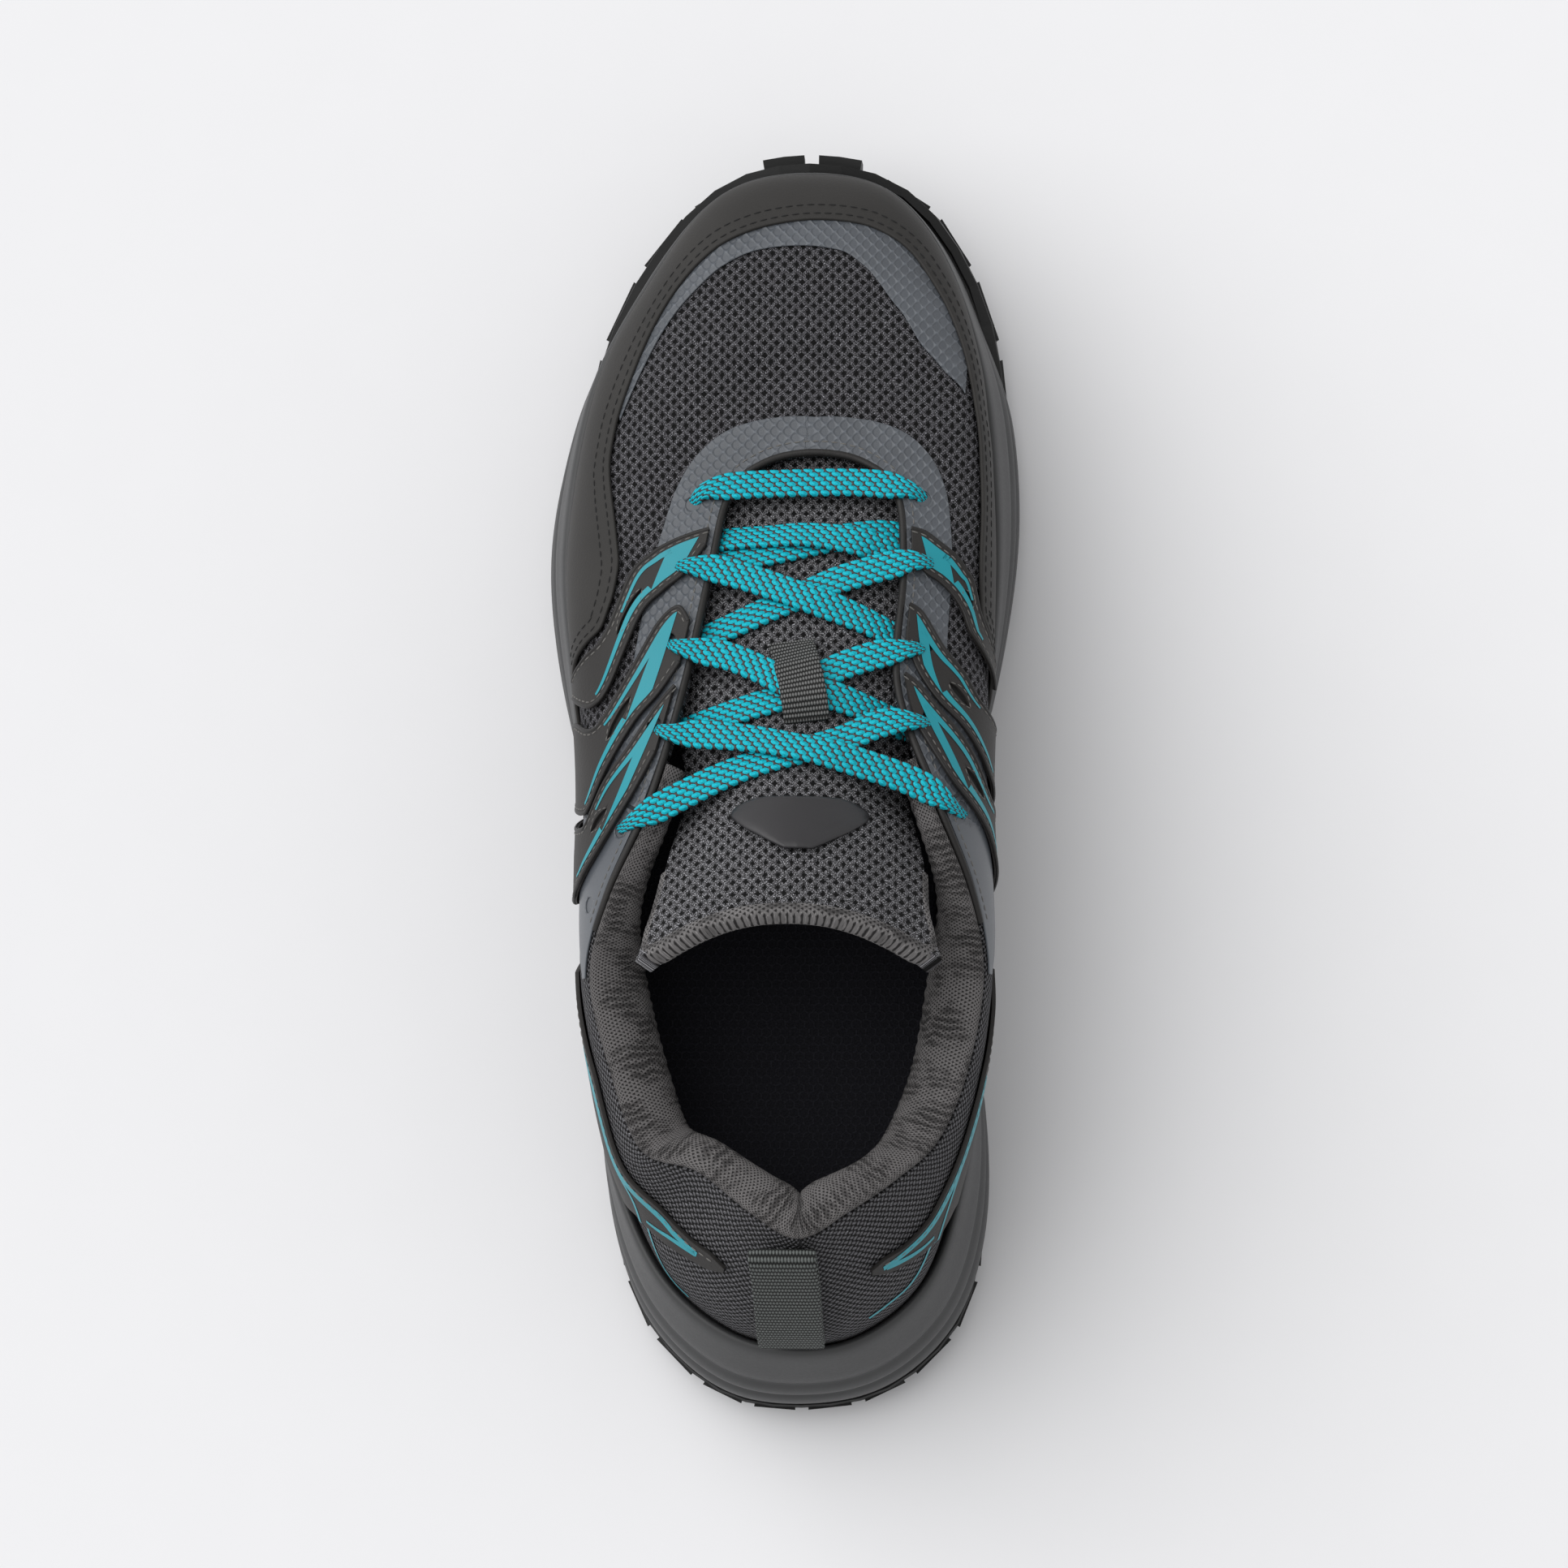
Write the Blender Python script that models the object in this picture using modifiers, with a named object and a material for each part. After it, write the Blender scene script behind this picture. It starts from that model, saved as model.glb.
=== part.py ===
"""Trail running shoe for the left foot, standing empty on its sole.

The row frame is in metres: +Z up, +Y towards the toe, +X towards the inner (medial) side.
Every form of the shoe is worked out from one ring of sections that runs round the foot, from the
back of the heel along the outer side to the toe and back along the inner side.
"""

import collections
import math

import bmesh
import bpy
from mathutils import Matrix, Vector

# Driving dimensions
SOLE_LENGTH = 0.298
BALL_WIDTH = 0.113
FEATHER_HEIGHT = 0.042  # ground to the line where upper and sole meet, at the heel
UPPER_RISE = 0.051  # feather line to the top of the heel collar
CLEARANCE = 0.0003  # gap between pieces that touch

# Sole
LUG_HEIGHT = 0.004
RUBBER_THICKNESS = 0.0025
HEEL_BEVEL = 0.0065
HEEL_BEVEL_LENGTH = 0.038
TOE_SPRING = 0.023
TOE_SPRING_LENGTH = 0.076
ARCH_LIFT = 0.003
TOE_WRAP_HEIGHT = 0.0105
TOE_WRAP_THICKNESS = 0.0024
TOE_WRAP_REACH = 2.3  # sections each side of the toe tip
RIM_WIDTH = 0.0034
RIM_RISE = 0.0026
RECESS_DEPTH = 0.003
FOOTBED_DISH = 0.0025

# Upper and what lies in it
UPPER_WALL = 0.002
FILM_THICKNESS = 0.0005
OVERLAY_THICKNESS = 0.001
INSOLE_THICKNESS = 0.004
INSOLE_MARGIN = 0.0012
COLLAR_PAD = 0.0125
COLLAR_ROLL = 0.0034
TONGUE_THICKNESS = 0.005
EYELET_RADIUS = 0.002

# Laces and webbing
LACE_WIDTH = 0.0082
LACE_THICKNESS = 0.0016
PULL_TAB_WIDTH = 0.0152
PULL_TAB_THICKNESS = 0.0013
PULL_TAB_STAND_OFF = 0.0045
PULL_TAB_LEAN = 0.0039  # to the outer side, on its way up
KEEPER_WIDTH = 0.0105
KEEPER_THICKNESS = 0.0011
BADGE_THICKNESS = 0.0012

# How finely the ring is cut between two sections, and the upper from feather line to edge
STEPS_PER_SECTION = 3
UPPER_ROWS = 6

Section = collections.namedtuple(
    "Section",
    "name sole_across sole_along feather_across feather_along feather_up "
    "edge_across edge_along edge_up low_reach high_reach bulge slope pad",
)
# across: share of BALL_WIDTH. along: share of SOLE_LENGTH. feather_up: share of FEATHER_HEIGHT.
# edge_up: share of UPPER_RISE above the feather line. The reaches are shares of the distance from
# feather line to edge. bulge and slope are degrees. pad: share of COLLAR_PAD.
SECTIONS = [
    Section("heel back", 0.049, -0.500, 0.044, -0.463, 1.00, 0.066, -0.406, 1.00, 0.34, 0.36, 4, 66, 0.88),
    Section("heel corner", -0.124, -0.487, -0.088, -0.451, 1.00, -0.031, -0.386, 0.97, 0.34, 0.36, 4, 64, 0.88),
    Section("heel side", -0.274, -0.431, -0.217, -0.409, 1.00, -0.140, -0.352, 0.87, 0.34, 0.36, 6, 62, 0.72),
    Section("heel front", -0.350, -0.349, -0.301, -0.339, 1.00, -0.258, -0.332, 0.75, 0.34, 0.36, 8, 62, 1.04),
    Section("ankle", -0.372, -0.248, -0.354, -0.255, 0.98, -0.327, -0.265, 0.68, 0.36, 0.36, 6, 66, 1.00),
    Section("quarter", -0.381, -0.141, -0.367, -0.154, 0.95, -0.368, -0.195, 0.70, 0.36, 0.38, 3, 68, 0.96),
    Section("waist", -0.398, -0.034, -0.376, -0.047, 0.92, -0.327, -0.138, 0.90, 0.36, 0.36, 2, 52, 0.60),
    Section("waist front", -0.472, 0.084, -0.407, 0.067, 0.86, -0.239, -0.067, 1.07, 0.36, 0.36, 2, 36, 0.36),
    Section("ball", -0.498, 0.195, -0.431, 0.174, 0.81, -0.173, 0.027, 1.02, 0.36, 0.36, 2, 26, 0.50),
    Section("toe side", -0.434, 0.309, -0.374, 0.309, 0.83, -0.128, 0.121, 0.82, 0.32, 0.38, 2, 20, 0.50),
    Section("toe corner", -0.325, 0.408, -0.248, 0.399, 0.88, -0.093, 0.188, 0.66, 0.30, 0.40, 4, 14, 0.50),
    Section("toe front", -0.155, 0.4755, -0.115, 0.458, 0.94, -0.022, 0.215, 0.58, 0.28, 0.42, 5, 11, 0.50),
    Section("toe tip", 0.058, 0.495, 0.053, 0.4715, 0.97, 0.080, 0.223, 0.555, 0.27, 0.43, 5, 10, 0.50),
    Section("toe front", 0.274, 0.475, 0.217, 0.459, 0.94, 0.181, 0.215, 0.58, 0.28, 0.42, 5, 11, 0.50),
    Section("toe corner", 0.410, 0.408, 0.336, 0.401, 0.88, 0.248, 0.188, 0.66, 0.30, 0.40, 4, 14, 0.50),
    Section("toe side", 0.481, 0.309, 0.407, 0.309, 0.83, 0.261, 0.121, 0.82, 0.32, 0.38, 2, 20, 0.50),
    Section("ball", 0.499, 0.201, 0.434, 0.181, 0.81, 0.252, 0.027, 1.02, 0.36, 0.36, 2, 26, 0.50),
    Section("waist front", 0.454, 0.084, 0.416, 0.060, 0.86, 0.327, -0.060, 1.08, 0.36, 0.36, 2, 36, 0.36),
    Section("waist", 0.381, -0.034, 0.367, -0.047, 0.92, 0.403, -0.131, 0.91, 0.36, 0.36, 5, 54, 0.60),
    Section("quarter", 0.372, -0.141, 0.361, -0.154, 0.95, 0.433, -0.191, 0.70, 0.36, 0.38, 10, 68, 0.96),
    Section("ankle", 0.425, -0.248, 0.385, -0.255, 0.98, 0.403, -0.265, 0.68, 0.36, 0.36, 8, 66, 1.00),
    Section("heel front", 0.435, -0.349, 0.363, -0.339, 1.00, 0.345, -0.323, 0.75, 0.34, 0.36, 8, 62, 1.02),
    Section("heel side", 0.374, -0.431, 0.301, -0.413, 1.00, 0.265, -0.356, 0.87, 0.34, 0.36, 6, 62, 0.78),
    Section("heel corner", 0.230, -0.485, 0.177, -0.454, 1.00, 0.165, -0.385, 0.97, 0.34, 0.36, 4, 64, 0.88),
]
TOE = len(SECTIONS) // 2  # the section at the toe tip, half way round the ring
RING = len(SECTIONS) * STEPS_PER_SECTION

# The side of the midsole, from its lower edge to its rim. up: share of the side's height.
# inward: share of the way from the sole's outline to the rim's. groove: how deep it is cut in, in metres.
SideStep = collections.namedtuple("SideStep", "up inward groove")
SIDE_STEPS = [
    SideStep(0.00, 0.08, 0.0),
    SideStep(0.14, 0.00, 0.0),
    SideStep(0.27, 0.06, 0.0),
    SideStep(0.31, 0.12, 0.0013),
    SideStep(0.36, 0.14, 0.0),
    SideStep(0.48, 0.26, 0.0),
    SideStep(0.53, 0.34, 0.0013),
    SideStep(0.58, 0.38, 0.0),
    SideStep(0.80, 0.62, 0.0008),
    SideStep(1.00, 1.00, 0.0),
]

# Overlays lie this far off the upper's outer face
FILM_PROUD = CLEARANCE * 2
OVERLAY_PROUD = FILM_PROUD + FILM_THICKNESS + CLEARANCE * 1.3
STRAP_PROUD = OVERLAY_PROUD + CLEARANCE * 2

# Edges on the upper: the section's number, and the share of the way from feather line to edge
Edge = collections.namedtuple("Edge", "section share")
CAP_EDGE = [
    Edge(6.60, 0.18),
    Edge(7.33, 0.40),
    Edge(8.00, 0.64),
    Edge(8.33, 0.66),
    Edge(8.66, 0.67),
    Edge(8.82, 0.60),
    Edge(9.00, 0.50),
    Edge(9.33, 0.46),
    Edge(10.00, 0.43),
    Edge(10.66, 0.41),
    Edge(11.33, 0.40),
    Edge(12.00, 0.385),
    Edge(12.66, 0.383),
    Edge(13.20, 0.40),
    Edge(13.66, 0.46),
    Edge(14.00, 0.53),
    Edge(14.66, 0.58),
    Edge(15.33, 0.60),
    Edge(16.00, 0.57),
    Edge(16.66, 0.39),
    Edge(17.33, 0.18),
]
TOE_FILM = [
    Edge(9.33, 0.468),
    Edge(10.00, 0.480),
    Edge(10.66, 0.480),
    Edge(11.33, 0.465),
    Edge(12.00, 0.470),
    Edge(12.40, 0.482),
    Edge(12.66, 0.525),
    Edge(12.90, 0.590),
    Edge(13.33, 0.650),
    Edge(13.66, 0.645),
    Edge(14.00, 0.590),
]
COLLAR_ROOT = [
    Edge(0.00, 0.48),
    Edge(4.00, 0.48),
    Edge(5.00, 0.55),
    Edge(6.00, 0.76),
    Edge(6.66, 0.86),
    Edge(7.33, 0.93),
]
COLLAR_FRONT = 7.33

# The eyestay film and the wings at the heel, between two edges
Patch = collections.namedtuple("Patch", "section low high")
EYESTAY = [
    Patch(5.00, 0.93, 0.975),
    Patch(5.33, 0.84, 0.980),
    Patch(5.66, 0.72, 0.980),
    Patch(6.33, 0.62, 0.980),
    Patch(7.00, 0.68, 0.980),
    Patch(7.66, 0.80, 0.99),
    Patch(8.33, 0.80, 0.99),
    Patch(9.00, 0.81, 0.99),
    Patch(9.66, 0.83, 0.99),
    Patch(10.33, 0.865, 0.99),
    Patch(11.33, 0.902, 0.99),
    Patch(12.00, 0.912, 0.99),
]
HEEL_WING = [
    Patch(1.10, 0.600, 0.625),
    Patch(1.33, 0.550, 0.645),
    Patch(1.66, 0.515, 0.630),
    Patch(2.20, 0.450, 0.640),
    Patch(2.66, 0.390, 0.700),
    Patch(3.00, 0.100, 0.745),
    Patch(3.50, 0.100, 0.790),
    Patch(4.00, 0.100, 0.800),
    Patch(4.66, 0.100, 0.720),
    Patch(5.00, 0.100, 0.620),
]

# The side straps, from tip to sole: share of the way up the upper, then the sections of the front
# and back edges on the outer side and on the inner side
StrapRow = collections.namedtuple("StrapRow", "share front back inner_front inner_back")
SIDE_STRAPS = {
    "front": [
        StrapRow(0.975, 9.48, 9.28, 14.50, 14.86),
        StrapRow(0.930, 9.38, 8.94, 14.58, 15.02),
        StrapRow(0.870, 9.20, 8.70, 14.78, 15.16),
        StrapRow(0.800, 8.92, 8.38, 15.02, 15.36),
        StrapRow(0.730, 8.60, 7.70, 15.26, 15.62),
        StrapRow(0.660, 8.00, 7.42, 15.52, 16.00),
        StrapRow(0.560, 7.66, 7.26, 16.10, 16.40),
        StrapRow(0.420, 7.26, 7.10, 16.64, 16.82),
    ],
    "middle": [
        StrapRow(0.975, 8.52, 8.16, 15.30, 15.62),
        StrapRow(0.930, 8.62, 7.86, 15.38, 15.92),
        StrapRow(0.870, 8.40, 7.58, 15.60, 16.30),
        StrapRow(0.800, 7.88, 7.12, 15.90, 16.62),
        StrapRow(0.730, 7.44, 6.62, 16.24, 16.98),
        StrapRow(0.660, 7.22, 6.46, 16.62, 17.26),
        StrapRow(0.500, 7.02, 6.30, 17.02, 17.66),
        StrapRow(0.330, 6.76, 6.20, 17.24, 17.80),
        StrapRow(0.090, 6.52, 6.10, 17.48, 17.92),
    ],
    "back": [
        StrapRow(0.975, 7.96, 7.40, 15.92, 16.42),
        StrapRow(0.930, 7.74, 6.92, 16.06, 16.92),
        StrapRow(0.870, 7.36, 6.40, 16.40, 17.24),
        StrapRow(0.800, 6.98, 6.08, 16.80, 17.54),
        StrapRow(0.730, 6.50, 5.88, 17.26, 17.86),
        StrapRow(0.660, 6.34, 5.72, 17.48, 18.10),
        StrapRow(0.500, 6.18, 5.54, 17.80, 18.42),
        StrapRow(0.300, 6.06, 5.44, 17.98, 18.60),
        StrapRow(0.090, 6.00, 5.38, 18.06, 18.68),
    ],
}

Eyelet = collections.namedtuple("Eyelet", "outer outer_share inner inner_share")
EYELETS = [
    Eyelet(9.71, 0.905, 14.17, 0.925),
    Eyelet(8.96, 0.885, 14.94, 0.895),
    Eyelet(8.31, 0.920, 15.69, 0.905),
    Eyelet(7.60, 0.945, 16.40, 0.925),
    Eyelet(6.66, 0.930, 17.25, 0.905),
]

# The collar's section from its root outside, over the upper's edge and down its inner side.
# down: share of the way to its root. rise: share of COLLAR_ROLL. wall and pad: how deep it lies.
CollarStep = collections.namedtuple("CollarStep", "down rise wall pad")
COLLAR_STEPS = [
    CollarStep(1.00, 0.00, 1.14, 0.00),
    CollarStep(0.50, 0.00, 1.14, 0.00),
    CollarStep(0.00, 0.20, 1.14, 0.00),
    CollarStep(0.00, 0.28, -0.05, 0.00),
    CollarStep(0.00, 0.66, 0.30, 0.00),
    CollarStep(0.00, 1.00, 1.00, 0.30),
    CollarStep(0.00, 0.72, 1.00, 0.72),
    CollarStep(0.03, 0.00, 1.00, 0.96),
    CollarStep(0.25, 0.00, 1.00, 1.00),
    CollarStep(0.60, 0.00, 1.00, 0.66),
    CollarStep(0.97, 0.00, 1.00, 0.16),
]

# along: share of SOLE_LENGTH. across and half_width: shares of BALL_WIDTH. side_up and crown_up:
# shares of UPPER_RISE over the heel's feather line. side_back: how far the sides trail the crown.
TONGUE_RINGS = 15
TongueRow = collections.namedtuple("TongueRow", "along across half_width side_up crown_up side_back")
TONGUE_ROWS = [
    TongueRow(0.262, 0.097, 0.124, 0.390, 0.420, 0.000),
    TongueRow(0.221, 0.088, 0.186, 0.400, 0.470, 0.000),
    TongueRow(0.168, 0.075, 0.226, 0.470, 0.570, 0.000),
    TongueRow(0.114, 0.062, 0.240, 0.560, 0.690, 0.000),
    TongueRow(0.060, 0.058, 0.244, 0.660, 0.815, 0.000),
    TongueRow(0.000, 0.049, 0.240, 0.750, 0.950, 0.000),
    TongueRow(-0.052, 0.045, 0.215, 0.770, 1.075, 0.003),
    TongueRow(-0.100, 0.047, 0.248, 0.880, 1.225, 0.010),
    TongueRow(-0.136, 0.045, 0.274, 1.060, 1.350, 0.021),
    TongueRow(-0.164, 0.045, 0.308, 1.160, 1.440, 0.034),
]

# Crossings, from the toe up: where the arms cross, and where each dives under the throat's edge
Crossing = collections.namedtuple(
    "Crossing",
    "name eyelet ends_at middle_across middle_along outer_across outer_along inner_across inner_along",
)
CROSSINGS = [
    Crossing("lace_crossing_1", None, None, 0.070, 0.147, -0.080, 0.143, 0.215, 0.143),
    Crossing("lace_crossing_2", 1, None, 0.050, 0.099, -0.086, 0.082, 0.205, 0.077),
    Crossing("lace_crossing_3", 2, None, 0.066, 0.0275, -0.088, 0.009, 0.205, 0.013),
    Crossing("lace_crossing_4", 3, 4, 0.066, -0.030, 0.0, 0.0, 0.0, 0.0),
]

KeeperStep = collections.namedtuple("KeeperStep", "along rise")
KEEPER_ACROSS = 0.070
KEEPER_STEPS = [
    KeeperStep(0.0620, 0.0),
    KeeperStep(0.0575, 1.0),
    KeeperStep(0.0525, 3.2),
    KeeperStep(0.0390, 3.6),
    KeeperStep(0.0160, 3.6),
    KeeperStep(0.0035, 3.2),
    KeeperStep(-0.0015, 1.0),
    KeeperStep(-0.0060, 0.0),
]

BADGE_ACROSS = 0.064
BADGE_ALONG = -0.117
BADGE_LENGTH = 0.046
# share along the badge, and its two sides as shares of BALL_WIDTH off its middle
BadgeRow = collections.namedtuple("BadgeRow", "along low high")
BADGE_ROWS = [
    BadgeRow(0.00, -0.026, 0.026),
    BadgeRow(0.26, -0.078, 0.078),
    BadgeRow(0.54, -0.128, 0.128),
    BadgeRow(0.74, -0.144, 0.144),
    BadgeRow(0.90, -0.118, 0.122),
    BadgeRow(1.00, -0.070, 0.076),
]

# The pull tab's fold: share of the way from rim to collar, and share of its stand-off
PullStep = collections.namedtuple("PullStep", "up proud")
PULL_TAB_SECTION = 0.0
PULL_STEPS = [
    PullStep(0.14, 0.30),
    PullStep(0.40, 0.30),
    PullStep(0.70, 0.30),
    PullStep(0.90, 0.30),
    PullStep(0.945, 0.32),
    PullStep(0.970, 0.43),
    PullStep(0.979, 0.66),
    PullStep(0.968, 0.89),
    PullStep(0.935, 1.01),
    PullStep(0.850, 1.04),
    PullStep(0.620, 1.02),
    PullStep(0.400, 0.90),
    PullStep(0.250, 0.75),
    PullStep(0.180, 0.70),
]

RIM_LUGS = 38
RIM_LUG_DEPTH = 0.0115
CHEVRON_PITCH = 0.0200
CHEVRON_WIDTH = 0.0205
# The two lugs at the toe tip, from their tips up: depth under the sole, height, and how far proud
TOE_LUG_STEPS = [
    (0.0095, -0.0040, 0.0012),
    (0.0105, 0.0010, 0.0022),
    (0.0012, 0.0012, 0.0022),
    (0.0012, 0.0070, 0.0016),
]
# One chevron's corners, in shares of its width
CHEVRON = [(-0.5, 0.02), (0.0, 0.30), (0.5, 0.02), (0.5, -0.34), (0.0, -0.10), (-0.5, -0.34)]


def smooth(share):
    """0 below 0, 1 above 1, and an even turn in between."""
    share = min(1.0, max(0.0, share))
    return share * share * (3 - 2 * share)


def spline(values, at, closed):
    """The value at a fractional index of a row of values, on a smooth curve through them."""
    count = len(values)
    first = math.floor(at)
    part = at - first

    def value(index):
        return values[index % count] if closed else values[min(count - 1, max(0, index))]

    a, b, c, d = (value(first + step) for step in (-1, 0, 1, 2))
    return (
        b
        + (c - a) * (0.5 * part)
        + (a * 2 - b * 5 + c * 4 - d) * (0.5 * part**2)
        + (b * 3 - a - c * 3 + d) * (0.5 * part**3)
    )


def ring_value(column, u):
    return spline([getattr(section, column) for section in SECTIONS], u, True)


def plan_point(kind, u):
    """The sole's outline, the feather line or the upper's edge, seen from above."""
    return Vector(
        (
            ring_value(kind + "_across", u) * BALL_WIDTH,
            ring_value(kind + "_along", u) * SOLE_LENGTH,
            0,
        )
    )


def inward(kind, u):
    """The level direction towards the middle of that outline."""
    step = 0.02
    along = plan_point(kind, u + step) - plan_point(kind, u - step)
    return Vector((along.y, -along.x, 0)).normalized()


# Heights under the foot

def ground_lift(y):
    """How far the tread's tips lie above the floor: 0 under heel and ball."""
    half = SOLE_LENGTH / 2
    heel = HEEL_BEVEL * max(0.0, (HEEL_BEVEL_LENGTH - half - y) / HEEL_BEVEL_LENGTH) ** 2
    toe = TOE_SPRING * max(0.0, (y - half + TOE_SPRING_LENGTH) / TOE_SPRING_LENGTH) ** 1.7
    arch_middle = -0.035 * SOLE_LENGTH
    arch_reach = 0.115 * SOLE_LENGTH
    arch = ARCH_LIFT * (1 - smooth(abs(y - arch_middle) / arch_reach))
    return heel + toe + arch


def rubber_under(y):
    return ground_lift(y) + LUG_HEIGHT


def rubber_top(y):
    return rubber_under(y) + RUBBER_THICKNESS


def feather_height(u):
    return ring_value("feather_up", u) * FEATHER_HEIGHT


def toe_wrap(u):
    """How far the rubber climbs the front of the toe."""
    return TOE_WRAP_HEIGHT * (1 - smooth(abs(u - TOE) / TOE_WRAP_REACH))


# The side of the sole

def side_point(u, up, inward_share, inset):
    """A point on the sole's side: a share of its height, and of the way in to the rim."""
    plain = toe_inset(u) / (TOE_WRAP_THICKNESS + CLEARANCE)
    inward_share += (0.05 + 0.6 * up - inward_share) * plain
    sole = plan_point("sole", u)
    rim = plan_point("feather", u) - inward("feather", u) * RIM_WIDTH
    place = sole.lerp(rim, inward_share) + inward("sole", u) * inset
    low = rubber_top(place.y) + CLEARANCE * 1.6
    high = feather_height(u) + RIM_RISE * 0.6
    place.z = low + (high - low) * up
    return place


# The upper's own surface

def upper_curve(u, v):
    """The outer face of the upper: v is 0 at the feather line and 1 at the collar or throat."""
    foot = plan_point("feather", u)
    foot.z = feather_height(u) - RECESS_DEPTH + CLEARANCE
    edge = plan_point("edge", u)
    edge.z = feather_height(u) + ring_value("edge_up", u) * UPPER_RISE
    span = (edge - foot).length
    bulge = math.radians(ring_value("bulge", u))
    slope = math.radians(ring_value("slope", u))
    rise = Vector((0, 0, math.cos(bulge))) - inward("feather", u) * math.sin(bulge)
    arrive = Vector((0, 0, math.sin(slope))) + inward("edge", u) * math.cos(slope)
    low = foot + rise * span * ring_value("low_reach", u)
    high = edge - arrive * span * ring_value("high_reach", u)
    w = 1 - v
    return foot * w**3 + low * 3 * w * w * v + high * 3 * w * v * v + edge * v**3


def upper_normal(u, v):
    step = 0.01
    across = upper_curve(u + step, v) - upper_curve(u - step, v)
    upwards = upper_curve(u, v + step) - upper_curve(u, v - step)
    return upwards.cross(across).normalized()


def upper_point(u, v, proud=0.0):
    """A point that stands proud of the upper's outer face, or behind it if proud is negative."""
    return upper_curve(u, v) + upper_normal(u, v) * proud


def v_at_height(u, height):
    """Where the upper's outer face passes a height above the floor."""
    low, high = 0.0, 0.7
    for _ in range(24):
        middle = (low + high) / 2
        if upper_curve(u, middle).z < height:
            low = middle
        else:
            high = middle
    return low


def rim_v(u):
    """Just over the sole's rim, where the overlays begin."""
    return v_at_height(u, feather_height(u) + RIM_RISE + 3 * CLEARANCE)


def table_value(table, column, at, key):
    """A column's value between two rows of a table that is sorted by another column."""
    before = table[0]
    for row in table:
        if getattr(row, key) >= at:
            gap = getattr(row, key) - getattr(before, key)
            part = (at - getattr(before, key)) / gap if gap else 0
            return getattr(before, column) * (1 - part) + getattr(row, column) * part
        before = row
    return getattr(before, column)


# Meshes

def material(name, colour, roughness, metallic=0.0):
    made = bpy.data.materials.new(name)
    made.use_nodes = True
    shader = made.node_tree.nodes["Principled BSDF"]
    shader.inputs["Base Color"].default_value = (*colour, 1)
    shader.inputs["Roughness"].default_value = roughness
    shader.inputs["Metallic"].default_value = metallic
    made.diffuse_color = (*colour, 1)
    return made


def new_object(name, bm, finish, collection="shoe"):
    mesh = bpy.data.meshes.new(name)
    bmesh.ops.recalc_face_normals(bm, faces=bm.faces)
    bm.to_mesh(mesh)
    bm.free()
    mesh.shade_smooth()
    obj = bpy.data.objects.new(name, mesh)
    if finish:
        mesh.materials.append(finish)
    bpy.data.collections[collection].objects.link(obj)
    return obj


def add_loop(bm, points):
    return [bm.verts.new(point) for point in points]


def bridge(bm, first, second, closed=True):
    """Quads between two rows of vertices of the same count."""
    count = len(first)
    for index in range(count if closed else count - 1):
        after = (index + 1) % count
        bm.faces.new((first[index], first[after], second[after], second[index]))


def ladder(bm, loop, height, cells):
    """Closes a ring by rungs from its outer to its inner side, with height(x, y) between."""
    half = len(loop) // 2
    rungs = []
    for index in range(1, half):
        start, end = loop[index], loop[-index]
        rung = [start]
        for cell in range(1, cells):
            place = start.co.lerp(end.co, cell / cells)
            share = math.sin(math.pi * cell / cells)
            place.z = height(place, share)
            rung.append(bm.verts.new(place))
        rungs.append(rung + [end])
    faces = []
    for rung, following in zip(rungs, rungs[1:]):
        for cell in range(cells):
            quad = (rung[cell], rung[cell + 1], following[cell + 1], following[cell])
            faces.append(bm.faces.new(quad))
    for tip, rung in ((loop[0], rungs[0]), (loop[half], rungs[-1])):
        for cell in range(cells):
            bm.faces.new((tip, rung[cell], rung[cell + 1]))
    return faces


def ring_us():
    return [index / STEPS_PER_SECTION for index in range(RING)]


def grid_sheet(name, rows, finish, thickness):
    """An open sheet through rows of points, given its thickness outwards by Solidify."""
    bm = bmesh.new()
    made = [add_loop(bm, row) for row in rows]
    for first, second in zip(made, made[1:]):
        bridge(bm, first, second, closed=False)
    obj = new_object(name, bm, finish)
    solidify = obj.modifiers.new("thickness", "SOLIDIFY")
    solidify.thickness = thickness
    solidify.offset = 1
    solidify.use_even_offset = True
    return obj


def face_outwards(obj, outward):
    """Turns an open sheet so that its faces look along outward, which takes a face's middle."""
    bm = bmesh.new()
    bm.from_mesh(obj.data)
    face = max(bm.faces, key=lambda one: one.calc_area())
    if face.normal.dot(outward(face.calc_center_median())) < 0:
        bmesh.ops.reverse_faces(bm, faces=bm.faces)
    bm.to_mesh(obj.data)
    bm.free()


def upwards(_):
    return Vector((0, 0, 1))


def from_core(place):
    """Away from the hollow of the shoe."""
    core = Vector((0.005, place.y * 0.85, FEATHER_HEIGHT * 1.1))
    return place - core


def ribbon(bm, path, across, width, thickness):
    """A flat strap: its faces lie half a thickness off the path, on each side."""
    rings = []
    for index, place in enumerate(path):
        before, after = path[max(0, index - 1)], path[min(len(path) - 1, index + 1)]
        side = across[index].normalized()
        up = side.cross((after - before).normalized()).normalized()
        offsets = ((-1, -1), (1, -1), (1, 1), (-1, 1))
        corners = [place + side * a * width / 2 + up * b * thickness / 2 for a, b in offsets]
        rings.append(add_loop(bm, corners))
    for first, second in zip(rings, rings[1:]):
        bridge(bm, first, second)
    bm.faces.new(rings[0])
    bm.faces.new(rings[-1])


def smooth_path(points, count):
    """Points on a smooth curve through a few given ones."""
    last = len(points) - 1
    return [spline(points, last * step / (count - 1), False) for step in range(count)]


def boolean(target, operation, cutter):
    modifier = target.modifiers.new(operation.lower(), "BOOLEAN")
    modifier.operation = operation
    modifier.solver = "EXACT"
    modifier.object = cutter


def hide(obj):
    obj.hide_render = True
    obj.display_type = "WIRE"


# Sole

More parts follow.
